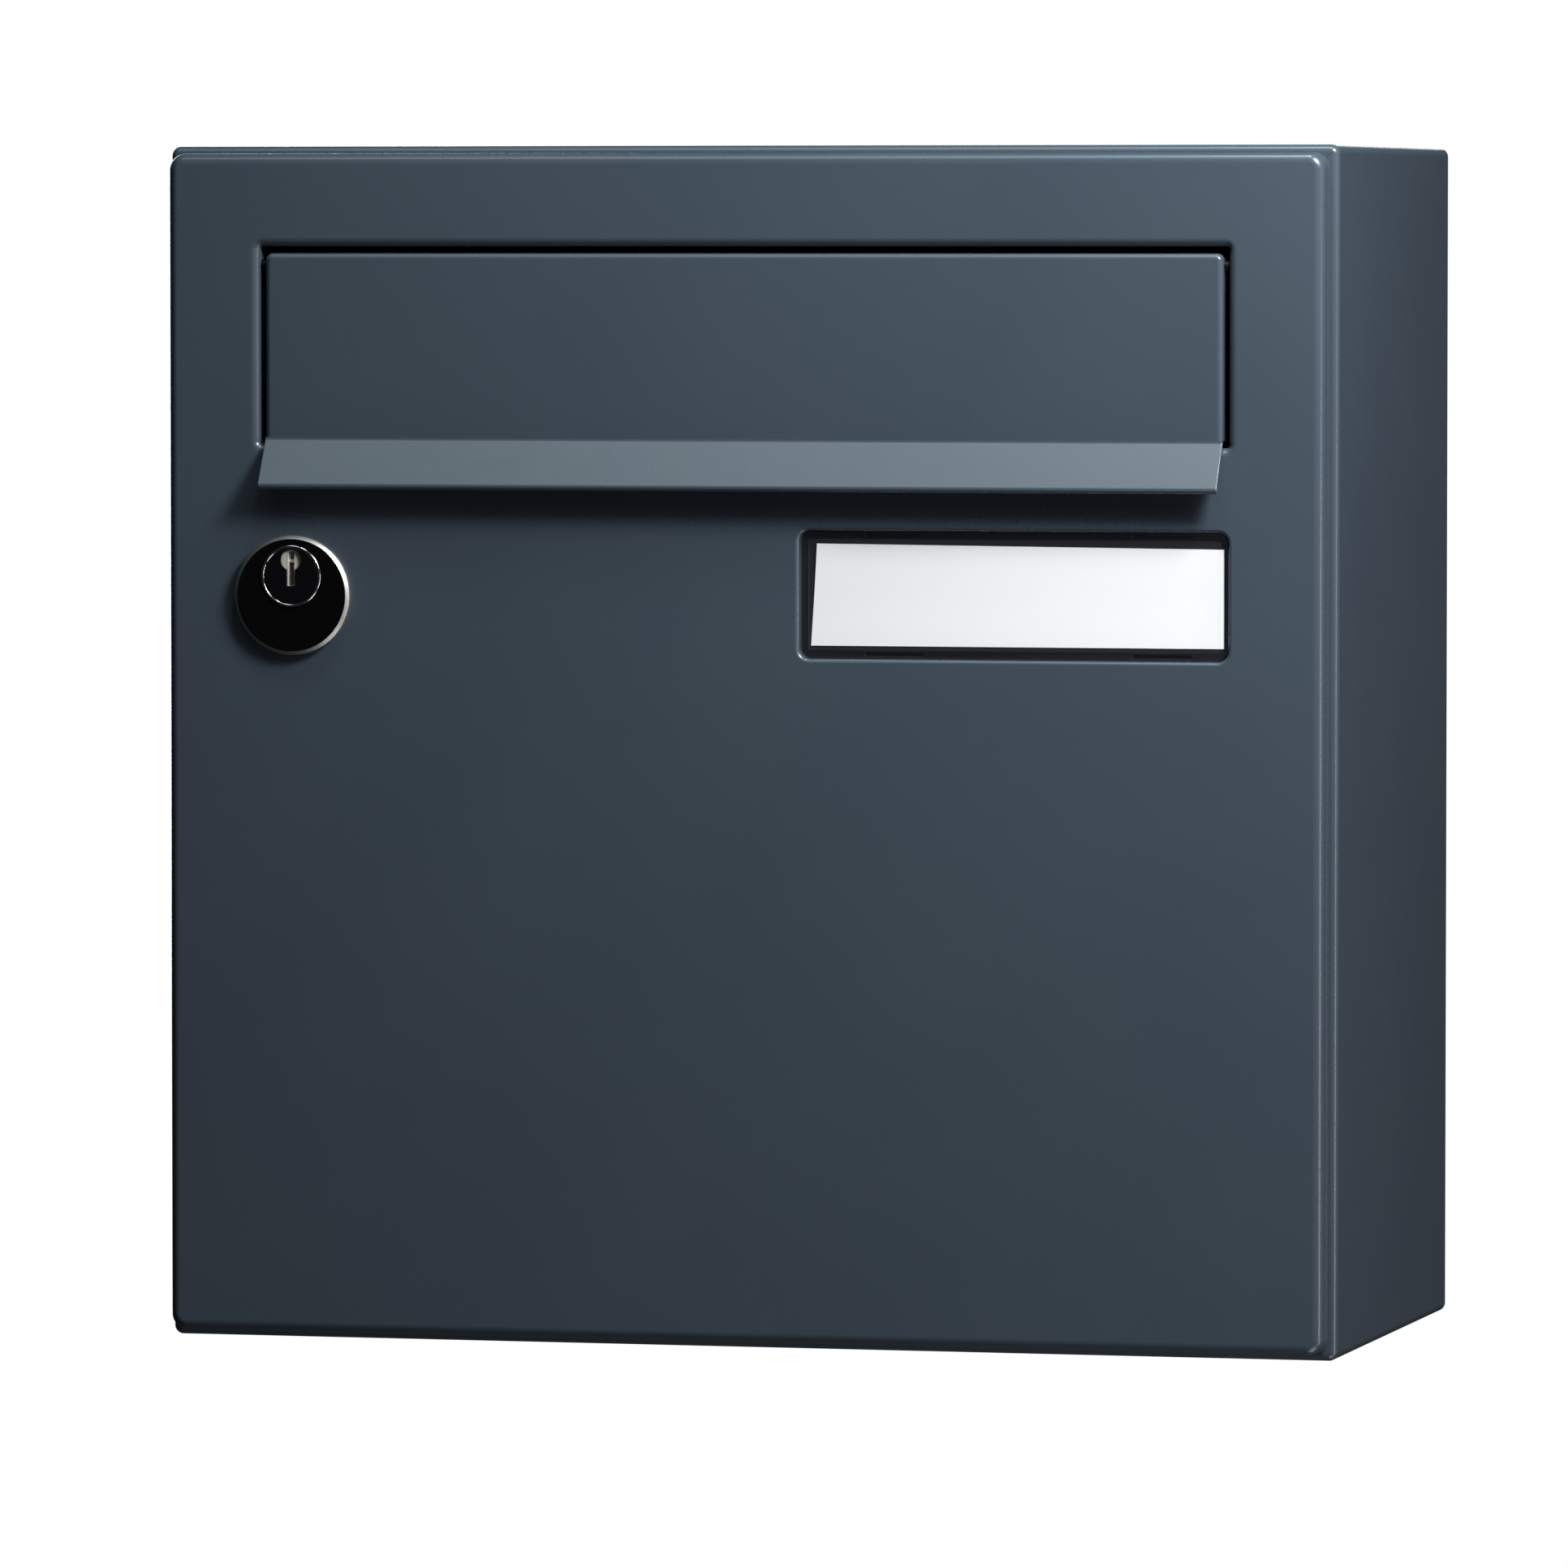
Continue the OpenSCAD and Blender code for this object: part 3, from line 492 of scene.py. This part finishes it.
# ---------------------------------------------------------------------------------------------
# Hinge rivets: four aluminium blind rivets through the hinge feet and the rim. Each has a low
# domed head with the hole of its snapped mandrel in front, and a bulbed tail behind the rim.
rivet_low, rivet_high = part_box("hinge_rivets")
rivet_r, rivet_foot, rivet_seat = 1.6 * mm, 1 * mm, 1.2 * mm
rivet_head_r = (rivet_high.x - rivet_low.x) / 2
rivet_x = (rivet_high.x + rivet_low.x) / 2
rivet_tops = (rivet_high.z - rivet_head_r, rivet_high.z - rivet_head_r - 30 * mm)


def aluminium():
    """Plain drawn aluminium, dulled by handling"""
    finish = Finish("plain_aluminium", {"Metallic": 1.0})
    dull = finish.grain(1.5 * mm, 4)
    finish.set("Base Color", finish.blend(dull, (0.58, 0.59, 0.60), (0.72, 0.72, 0.72)))
    finish.set("Roughness", 0.3 + 0.15 * dull)
    return finish


build = bmesh.new()
mandrel_r = 0.9 * mm
for height in (*rivet_tops, *(-top for top in rivet_tops)):
    section = [(0, rivet_seat + 0.35 * mm), (mandrel_r, rivet_seat + 0.4 * mm),
               (mandrel_r, rivet_seat + 0.8 * mm), (mandrel_r + 0.2 * mm, rivet_seat + 0.98 * mm),
               (rivet_head_r * 0.7, rivet_seat + 0.8 * mm), (rivet_head_r * 0.95, rivet_seat + 0.35 * mm),
               (rivet_head_r, rivet_seat), (rivet_r, rivet_seat), (rivet_r, -rivet_foot),
               (rivet_head_r * 0.9, -rivet_foot - 0.3 * mm), (rivet_head_r * 0.95, -rivet_foot - 0.6 * mm),
               (rivet_head_r * 0.7, -rivet_foot - 0.95 * mm), (0, -rivet_foot - 1 * mm)]
    revolve(build, section, (rivet_x, -shell_d, height), "Y", 32)
finished(to_object("domed_hinge_rivets", build), aluminium(), "cabinet", "aluminium_rivet", "hinge_rivets")

# ---------------------------------------------------------------------------------------------
# Door: a shallow pan of 1 mm steel whose edges are turned back all round. The letter window and
# the name plate's window are pressed with turned-in flanges, two tabs stop the flap, and the
# barrel passes through a double-D hole. It is powder coated like the cabinet.
door_low, door_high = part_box("door_panel")
door_w, door_h = door_high.x, door_high.z
door_front, door_back = -door_low.y, -door_high.y
door_corner_r, bend_r = 5.5 * mm, 3.5 * mm
window_w, window_top, window_h = 165.5 * mm, 166.5 * mm, 66 * mm
window_middle = (0, window_top - window_h / 2)
window_r, window_bend, window_flange = 1 * mm, 3 * mm, 10 * mm
plate_w, plate_h = 145 * mm, 42.4 * mm
plate_middle = (window_w - plate_w / 2, 51.5 * mm)
plate_r, plate_bend, plate_flange = 3.5 * mm, 1.5 * mm, 3 * mm
lock_x, lock_z = -153.5 * mm, 56.5 * mm
barrel_hole_r, barrel_hole_flats = 8.1 * mm, 6.6 * mm


def turned_edge(front, back, bend):
    """Section of a sheet edge turned back: from the inner face, round the cut edge, to the outer face"""
    return (arc(bend, front - bend, bend - sheet, 90, 180)
            + arc(sheet - cut_edge, back + cut_edge, cut_edge, 0, -90, 2)
            + arc(cut_edge, back + cut_edge, cut_edge, 270, 180, 2)
            + arc(bend, front - bend, bend, 180, 90))


def barrel_hole(depth):
    """Double-D outline of the lock's hole at one depth"""
    points = circle(barrel_hole_r, depth, (0, 0))
    return [Vector((lock_x + max(-barrel_hole_flats, min(barrel_hole_flats, point.x)), point.y,
                    lock_z + point.z)) for point in points]


build = bmesh.new()
edge_rows = skin(build, [ring(door_w - inset, door_h - inset, door_corner_r - inset, depth)
                         for inset, depth in turned_edge(door_front, door_back, bend_r)], round_again=False)
window_section = turned_edge(door_front, door_front - window_flange, window_bend)
window_rows = skin(build, [ring(window_w + inset, window_h / 2 + inset, window_r + inset, depth,
                                window_middle) for inset, depth in window_section], round_again=False)
plate_rows = skin(build, [ring(plate_w / 2 + inset, plate_h / 2 + inset, plate_r + inset, depth, plate_middle)
                          for inset, depth in turned_edge(door_front, door_front - plate_flange, plate_bend)],
                  round_again=False)
hole_rows = skin(build, [barrel_hole(door_front - sheet), barrel_hole(door_front)], round_again=False)
plate(build, edge_rows[0], [window_rows[0], plate_rows[0], hole_rows[0]], Vector((0, 1, 0)))
plate(build, edge_rows[-1], [window_rows[-1], plate_rows[-1], hole_rows[-1]], Vector((0, -1, 0)))
door_panel = to_object("painted_door_panel", build)

tab_x, tab_w, tab_top = 152 * mm, 12 * mm, 108.3 * mm
tab_front = 197.2 * mm
tabs = bmesh.new()
for side in (-1, 1):
    made = bmesh.ops.create_cube(tabs, size=1)["verts"]
    foot = window_top - window_h - sheet * 0.6
    bmesh.ops.scale(tabs, verts=made, vec=(tab_w, sheet, tab_top - foot))
    bmesh.ops.translate(tabs, verts=made, vec=(side * tab_x, -tab_front + sheet / 2, (tab_top + foot) / 2))
bmesh.ops.bevel(tabs, geom=tabs.edges[:], offset=cut_edge, segments=2, affect="EDGES")
carve(door_panel, to_object("stop_tabs", tabs), "UNION")
finished(door_panel, paint, "door", "powder_coat", "door_panel")

# ---------------------------------------------------------------------------------------------
# Weld studs: five short M4 threaded studs, zinc plated and stud-welded behind the door's face.
# Three of them carry the theft guard and two the name plate's holder. The free end of each
# thread is chamfered; the small weld fillet round each foot is not drawn.
stud_r, thread_depth, stud_pitch = 2 * mm, 0.3 * mm, 0.7 * mm
face_inside = door_front - sheet


def threaded(mesh, radius, pitch, depth, start, end, middle, turns=28, cuts=5):
    """Threaded rod along Y between two depths, with a chamfer on its end"""
    count = int((end - start) / pitch * cuts)
    rows = []
    for k in range(count + 1):
        along = start + (end - start) * k / count
        row = []
        for j in range(turns):
            phase = (along / pitch - j / turns) % 1
            groove = depth * max(0, 1 - abs(phase - 0.5) * 2.4)
            taper = max(0, depth - (along - start) * 0.8)
            r = radius - max(groove, taper)
            a = math.tau * j / turns
            row.append(Vector((middle[0] + r * math.cos(a), -along, middle[1] + r * math.sin(a))))
        rows.append(row)
    made = skin(mesh, rows, round_again=False)
    mesh.faces.new(made[0])
    mesh.faces.new(made[-1])


build = bmesh.new()
guard_stud_z = 88.25 * mm
plate_studs = [(plate_middle[0] - 82 * mm, plate_middle[1]), (plate_middle[0] + 82 * mm, plate_middle[1])]
guard_studs = [(side * 130 * mm, guard_stud_z) for side in (-1, 0, 1)]
for middle in guard_studs:
    threaded(build, stud_r, stud_pitch, thread_depth, face_inside - 6.5 * mm, face_inside, middle)
for middle in plate_studs:
    threaded(build, stud_r, stud_pitch, thread_depth, face_inside - 8.5 * mm, face_inside, middle)
finished(to_object("threaded_weld_studs", build), zinc, "door", "zinc_steel", "weld_studs")

# ---------------------------------------------------------------------------------------------
# Stud nuts: zinc-plated hexagon nuts that clamp the guard and the holder. Their corners are
# chamfered on both faces, as on any turned nut.


def hexagon(mesh, flats, bore, back, front, middle, chamfer=0.12):
    """Hexagon nut round a bore along Y, with its corners rounded off towards both faces"""
    rows = []
    for depth, share in [(front, 1 - chamfer), (front - (front - back) * 0.16, 1),
                         (back + (front - back) * 0.16, 1), (back, 1 - chamfer)]:
        row = []
        for k in range(48):
            a = math.tau * k / 48
            edge = flats / 2 / math.cos((a + math.pi / 6) % (math.pi / 3) - math.pi / 6)
            r = min(edge, flats / math.sqrt(3) * (share if share < 1 else 0.985))
            row.append(Vector((middle[0] + r * math.cos(a), -depth, middle[1] + r * math.sin(a))))
        rows.append(row)
    inner = [[Vector((middle[0] + r * math.cos(math.tau * k / 48), -depth,
                      middle[1] + r * math.sin(math.tau * k / 48))) for k in range(48)]
             for r, depth in [(bore + 0.25 * mm, back), (bore, back + 0.25 * mm),
                              (bore, front - 0.25 * mm), (bore + 0.25 * mm, front)]]
    skin(mesh, rows + inner)


nut_flats, nut_h = 7 * mm, 3.2 * mm
holder_front, holder_t = door_front - plate_flange, 2.5 * mm
build = bmesh.new()
for middle in guard_studs:
    hexagon(build, nut_flats, stud_r - 0.05 * mm, face_inside - sheet - nut_h, face_inside - sheet, middle)
holder_back = holder_front - holder_t
for middle in plate_studs:
    hexagon(build, nut_flats, stud_r - 0.05 * mm, holder_back - nut_h, holder_back, middle)
finished(to_object("chamfered_stud_nuts", build), zinc, "door", "zinc_steel", "stud_nuts")

# ---------------------------------------------------------------------------------------------
# Theft guard: a long bent strip of zinc-plated sheet under the letter slot, with a tongue that
# slopes down into the cabinet so that a hand can't reach the letters.
finished(softened("theft_guard", 0.15 * mm), zinc, "door", "zinc_steel", "theft_guard")

# ---------------------------------------------------------------------------------------------
# Flap axle and clips: a ground steel rod through the window's side flanges, with a pressed
# push-on clip at each end. Both are black-oxidised, so that they don't show in the gap.


def black_oxide():
    """Black oxide on steel, with a dull oily sheen"""
    finish = Finish("black_oxide", {"Metallic": 1.0})
    oily = finish.grain(2 * mm, 3)
    finish.set("Base Color", finish.blend(oily, (0.015, 0.015, 0.017), (0.035, 0.034, 0.034)))
    finish.set("Roughness", 0.42 + 0.2 * oily)
    return finish


oxide = black_oxide()
finished(softened("flap_axle", 0.3 * mm), oxide, "door", "blackened_steel", "flap_axle")
finished(softened("axle_clips", 0.2 * mm), oxide, "door", "blackened_steel", "axle_clips")

# ---------------------------------------------------------------------------------------------
# Flap buffers: two small rubber pads with moulded round edges, glued on the stop tabs.
finished(softened("flap_buffers", 0.3 * mm, 3), black_rubber, "door", "rubber", "flap_buffers")

# ---------------------------------------------------------------------------------------------
# Letter flap: one folded piece of 1.2 mm sheet on the axle. Its top and sides turn back, its
# lower edge bends forward into a sloping finger lip, and the lip ends in a rolled hem. It is
# powder coated like the door.
flap_w, flap_top, flap_t = 163.6 * mm, 164.3 * mm, 1.2 * mm
flap_front, flap_return, flap_bend = 199.6 * mm, 8 * mm, 2 * mm
flap_corner = flap_bend + 0.4 * mm
lip_rise, lip_slope, lip_len = 102.3 * mm, math.radians(31.8), 18.6 * mm
lip_bend, hem_r = 2 * mm, 1.3 * mm
tangent = lip_bend * math.tan(lip_slope / 2)
lip_start = lip_rise + tangent

build = bmesh.new()
pan_half = (flap_top - lip_rise) / 2 + 12 * mm
pan_middle = (0, flap_top - pan_half)
section = (arc(flap_bend, flap_front - flap_bend, flap_bend - flap_t, 90, 180)
           + arc(flap_t - cut_edge, flap_front - flap_return + cut_edge, cut_edge, 0, -90, 2)
           + arc(cut_edge, flap_front - flap_return + cut_edge, cut_edge, 270, 180, 2)
           + arc(flap_bend, flap_front - flap_bend, flap_bend, 180, 90))
rows = skin(build, [ring(flap_w - inset, pan_half - inset, max(flap_corner - inset, 0.1 * mm), depth,
                         pan_middle) for inset, depth in section], round_again=False)
build.faces.new(rows[0])
build.faces.new(rows[-1])
letter_flap = to_object("painted_letter_flap", build)

below = bmesh.new()
made = bmesh.ops.create_cube(below, size=1)["verts"]
bmesh.ops.scale(below, verts=made, vec=(1, 1, 60 * mm))
bmesh.ops.translate(below, verts=made, vec=(0, -flap_front, lip_start - 30 * mm))
carve(letter_flap, to_object("below_lip", below))

down = (math.sin(lip_slope), -math.cos(lip_slope))
out = (math.cos(lip_slope), math.sin(lip_slope))


def on_lip(along, off):
    """Point of the lip's section, as (depth, height), along its slope and off its front"""
    return (flap_front + along * down[0] + off * out[0], lip_rise + along * down[1] + off * out[1])


lip_slope_deg = math.degrees(lip_slope)
front_bend = [(flap_front + lip_bend + lip_bend * math.cos(a), lip_start + lip_bend * math.sin(a))
              for a in [math.radians(180 + lip_slope_deg * k / 8) for k in range(9)]]
back_bend = [(flap_front + lip_bend + (lip_bend + flap_t) * math.cos(a),
              lip_start + (lip_bend + flap_t) * math.sin(a))
             for a in [math.radians(180 + lip_slope_deg * k / 8) for k in range(9)]]
hem_middle = on_lip(lip_len - hem_r, -hem_r)
roll_start = math.atan2(out[1], out[0])
hem = [(hem_middle[0] + hem_r * math.cos(roll_start - math.radians(turn)),
        hem_middle[1] + hem_r * math.sin(roll_start - math.radians(turn))) for turn in range(0, 225, 15)]
hem.append(on_lip(lip_len - hem_r * 1.9, -flap_t))
profile = front_bend + hem + back_bend[::-1]


def shrunk(outline, inset):
    """Closed outline moved inward by an inset, along the mean normal at each of its points"""
    moved = []
    for before, spot, after in zip(outline[-1:] + outline[:-1], outline, outline[1:] + outline[:1]):
        run = Vector((after[0] - before[0], after[1] - before[1])).normalized()
        moved.append((spot[0] + inset * run.y, spot[1] - inset * run.x))
    return moved


# Both ends of the lip are rounded off: the outline shrinks as it nears the end.
lip = bmesh.new()
columns = []
lip_edge = 0.4 * mm
edge_turns = [math.radians(turn) for turn in (90, 60, 30, 0)]
for side, turns in ((-1, edge_turns), (1, edge_turns[::-1])):
    for turn in turns:
        inset = lip_edge * (1 - math.cos(turn))
        end = side * (flap_w - lip_edge + lip_edge * math.sin(turn))
        columns.append([Vector((end, -depth, rise)) for depth, rise in shrunk(profile, inset)])
skin(lip, columns, round_again=False)
lip.verts.ensure_lookup_table()
count = len(profile)
lip.faces.new(lip.verts[:count])
lip.faces.new(lip.verts[-count:])
carve(letter_flap, to_object("finger_lip", lip), "UNION")
finished(letter_flap, paint, "flap", "powder_coat", "letter_flap")

# ---------------------------------------------------------------------------------------------
# Label holder: a black moulded plate behind the name plate's window. It slips over two studs
# and has a slot for each snap tongue of the cover.


def moulded_black():
    """Black moulding with a fine spark-eroded texture"""
    finish = Finish("black_moulding", {"Base Color": (0.006, 0.006, 0.008), "Specular IOR Level": 0.4})
    texture = finish.grain(0.35 * mm, 3)
    finish.set("Roughness", 0.3 + 0.25 * texture)
    finish.bump(texture, 0.01 * mm)
    return finish


moulding = moulded_black()
finished(softened("label_holder", 0.25 * mm), moulding, "door", "black_plastic", "label_holder")

# ---------------------------------------------------------------------------------------------
# Name card: a blank white card cut by hand a little out of square. It lies on the holder under
# the cover and one corner has curled where it was pushed in.
card_t = 0.25 * mm
card_corners = [(26.3 * mm, 68.4 * mm), (163.7 * mm, 67.2 * mm),
                (24.1 * mm, 34.6 * mm), (163.7 * mm, 34.6 * mm)]
curl_high = 0.9 * mm


def card_paper():
    """Uncoated white card with faint fibres and a cool cast"""
    finish = Finish("card_paper", {"Roughness": 0.9, "Specular IOR Level": 0.2})
    fibres = finish.grain(0.5 * mm, 5, (1, 1, 4))
    finish.set("Base Color", finish.blend(fibres, (0.91, 0.92, 0.95), (0.96, 0.965, 0.98)))
    finish.bump(fibres, 0.01 * mm)
    return finish


build = bmesh.new()
top_left, top_right, foot_left, foot_right = [Vector(corner) for corner in card_corners]
sides = []
for lift in (card_t, 0):
    rows = []
    for i in range(17):
        v = i / 16
        row = []
        for j in range(65):
            u = j / 64
            spot = top_left.lerp(top_right, u).lerp(foot_left.lerp(foot_right, u), v)
            curl = max(0, 1 - u / 0.16 - v / 0.7)
            row.append(Vector((spot.x, -holder_front - lift - curl_high * curl * curl, spot.y)))
        rows.append(row)
    sides.append(skin(build, rows, round_again=False, closed=False))
for k in range(64):
    for edge in (0, -1):
        front, back = sides[0][edge], sides[1][edge]
        build.faces.new((front[k], front[k + 1], back[k + 1], back[k]))
for k in range(16):
    for edge in (0, -1):
        front, back = [side[k][edge] for side in sides], [side[k + 1][edge] for side in sides]
        build.faces.new((front[0], back[0], back[1], front[1]))
finished(to_object("paper_card", build), card_paper(), "door", "card_paper", "label_card")

# ---------------------------------------------------------------------------------------------
# Clear cover: an injection-moulded pane with a thick border and four snap tongues that hold it
# in the window, over the card. Its edges catch the light, so they look paler than its middle.


def clear_plastic():
    """Clear polycarbonate: thin to look through, but glossy, and denser at a glancing angle"""
    finish = Finish("clear_plastic", {"Base Color": (0.10, 0.11, 0.14), "Roughness": 0.06, "IOR": 1.58,
                                      "Specular IOR Level": 0.8})
    glance = finish.add("LayerWeight", {}, {"Blend": 0.3}, out="Facing")
    finish.set("Alpha", 0.05 + 0.5 * glance ** 2)
    return finish


finished(softened("label_cover", 0.3 * mm, 3), clear_plastic(), "name_cover", "clear_plastic", "label_cover")

# ---------------------------------------------------------------------------------------------
# Lock escutcheon: a black lacquered disc round the lock, set a little low, with a bevel that is
# turned bright round its edge. The lock's ring sits in a counterbore near its top.
disc_middle = (lock_x, lock_z - 6.4 * mm)
disc_r, disc_t, disc_bevel = 20 * mm, 3.4 * mm, 1.2 * mm
ring_r, ring_w = 10.4 * mm, 1.1 * mm


def lacquer():
    """Glossy black lacquer, turned off to satin metal on the bevel round the edge"""
    finish = Finish("escutcheon_lacquer", {"Specular IOR Level": 0.15})
    spot = finish.add("TexCoord", out="Object")
    middle = finish.add("VectorMath", {"operation": "SUBTRACT"},
                        {0: spot, 1: (disc_middle[0], -door_front, disc_middle[1])}, out="Vector")
    flat = finish.add("VectorMath", {"operation": "MULTIPLY"}, {0: middle, 1: (1, 0, 1)}, out="Vector")
    away = finish.add("VectorMath", {"operation": "LENGTH"}, {0: flat}, out="Value")
    rim = finish.add("MapRange", {}, {"Value": away, "From Min": disc_r - disc_bevel - 0.05 * mm,
                                      "From Max": disc_r - disc_bevel + 0.1 * mm})
    worn = finish.grain(3 * mm, 4)
    finish.set("Base Color", finish.blend(rim, (0.002, 0.002, 0.002), (0.40, 0.40, 0.39)))
    finish.set("Metallic", rim)
    finish.set("Roughness", 0.16 + 0.24 * rim + 0.08 * worn)
    finish.bump(finish.grain(0.4 * mm, 2), 0.002 * mm)
    return finish


build = bmesh.new()
section = [(0, 0), (disc_r - 0.2 * mm, 0), (disc_r, 0.2 * mm), (disc_r, disc_t - disc_bevel),
           (disc_r - disc_bevel * 0.1, disc_t - disc_bevel * 0.85),
           (disc_r - disc_bevel, disc_t - 0.06 * mm), (disc_r - disc_bevel - 0.25 * mm, disc_t), (0, disc_t)]
revolve(build, section, (disc_middle[0], -door_front, disc_middle[1]), "Y", 128)
escutcheon = to_object("lacquered_escutcheon", build)
bore = bmesh.new()
revolve(bore, [(0, -1 * mm), (8.1 * mm, -1 * mm), (8.1 * mm, 1 * mm), (ring_r + 0.1 * mm, 1 * mm),
               (ring_r + 0.1 * mm, disc_t + 1 * mm), (0, disc_t + 1 * mm)],
        (lock_x, -door_front, lock_z), "Y", 96)
carve(escutcheon, to_object("ring_seat", bore))
finished(escutcheon, lacquer(), "door", "black_escutcheon", "lock_escutcheon")

# ---------------------------------------------------------------------------------------------
# Lock barrel: a die-cast barrel with a chromed ring in front, a fine thread and two flats that
# stop it turning in the door. The ring's top is rolled over, and it is recessed for the face.


def chrome():
    """Bright chrome plating with faint polishing haze"""
    finish = Finish("bright_chrome", {"Metallic": 1.0, "Base Color": (0.62, 0.62, 0.62)})
    finish.set("Roughness", 0.08 + 0.12 * finish.grain(2 * mm, 4))
    return finish


plated = chrome()
ring_top, barrel_r, plug_bore = 4 * mm, 8 * mm, 5.6 * mm
barrel_back = -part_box("lock_barrel")[1].y
flats_half = barrel_hole_flats - 0.1 * mm
cutter_half = 2 * mm
head_sunk, collar_h = 0.9 * mm, 1 * mm
build = bmesh.new()
threaded(build, barrel_r, 1 * mm, 0.35 * mm, barrel_back, door_front - 0.4 * mm, (lock_x, lock_z), 48)
barrel = to_object("chromed_lock_barrel", build)
flats = bmesh.new()
for side in (-1, 1):
    made = bmesh.ops.create_cube(flats, size=1)["verts"]
    bmesh.ops.scale(flats, verts=made, vec=(2 * cutter_half, 60 * mm, 20 * mm))
    bmesh.ops.translate(flats, verts=made, vec=(lock_x + side * (flats_half + cutter_half),
                                                -door_front, lock_z))
carve(barrel, to_object("barrel_flats", flats))
head = bmesh.new()
section = ([(0, -head_sunk), (flats_half, -head_sunk), (flats_half, collar_h), (ring_r, collar_h)]
           + arc(ring_r - ring_w / 2, ring_top - ring_w / 2, ring_w / 2, 0, 180, 10)
           + [(ring_r - ring_w, 2 * mm), (0, 2 * mm)])
revolve(head, section, (lock_x, -door_front, lock_z), "Y", 96)
carve(barrel, to_object("barrel_head", head), "UNION")
bore = bmesh.new()
revolve(bore, [(0, -60 * mm), (plug_bore, -60 * mm), (plug_bore, 3 * mm), (0, 3 * mm)],
        (lock_x, -door_front, lock_z), "Y", 64)
carve(barrel, to_object("plug_bore", bore))
finished(barrel, plated, "door", "chrome", "lock_barrel")

# ---------------------------------------------------------------------------------------------
# Lock nut: a thin zinc-plated hexagon nut that clamps the barrel against the door's back.
build = bmesh.new()
hexagon(build, 22 * mm, barrel_r, face_inside - 4.5 * mm, face_inside, (lock_x, lock_z), 0.06)
finished(to_object("chamfered_lock_nut", build), zinc, "door", "zinc_steel", "lock_nut")

# ---------------------------------------------------------------------------------------------
# Lock face: a thin black moulded disc over the plug, with the keyhole through it.


def face_black():
    """Satin black moulding, smoother than the holder"""
    finish = Finish("lock_face_black", {"Base Color": (0.002, 0.002, 0.003), "Specular IOR Level": 0.15})
    finish.set("Roughness", 0.3 + 0.15 * finish.grain(1 * mm, 3))
    return finish


finished(softened("lock_face", 0.12 * mm), face_black(), "lock_core", "black_plastic", "lock_face")

# ---------------------------------------------------------------------------------------------
# Lock plug: the nickel-plated turning part behind the face, with the keyway down its middle and
# a square end for the cam. Keys have scratched it round the keyway.


def worn_nickel():
    """Nickel plating, warm and scratched by keys"""
    finish = Finish("worn_nickel", {"Metallic": 0.6})
    scratch = finish.grain(0.35 * mm, 5, (3, 1, 0.5))
    finish.set("Base Color", finish.blend(scratch, (0.60, 0.56, 0.48), (0.94, 0.92, 0.86)))
    finish.set("Roughness", 0.2 + 0.3 * scratch)
    finish.bump(scratch, 0.12 * mm)
    return finish


finished(softened("lock_plug", 0.1 * mm), worn_nickel(), "lock_core", "nickel", "lock_plug")

# ---------------------------------------------------------------------------------------------
# Lock wafers: four thin stamped brass plates across the keyway, which a key lines up.


def brass():
    """Stamped brass, slightly tarnished"""
    finish = Finish("stamped_brass", {"Metallic": 1.0})
    tarnish = finish.grain(1.2 * mm, 3)
    finish.set("Base Color", finish.blend(tarnish, (0.42, 0.27, 0.10), (0.72, 0.53, 0.24)))
    finish.set("Roughness", 0.25 + 0.2 * tarnish)
    return finish


finished(softened("lock_wafers", 0.06 * mm), brass(), "lock_core", "brass", "lock_wafers")

# ---------------------------------------------------------------------------------------------
# Stop washer, cam and cam screw: stamped zinc-plated steel on the plug's square end. The cam
# hangs down while the door is unlocked and swings behind the rim when the plug turns.
finished(softened("stop_washer", 0.2 * mm), zinc, "lock_core", "zinc_steel", "stop_washer")
finished(softened("lock_cam", 0.3 * mm), zinc, "lock_core", "zinc_steel", "lock_cam")
finished(softened("cam_screw", 0.25 * mm), zinc, "lock_core", "zinc_steel", "cam_screw")
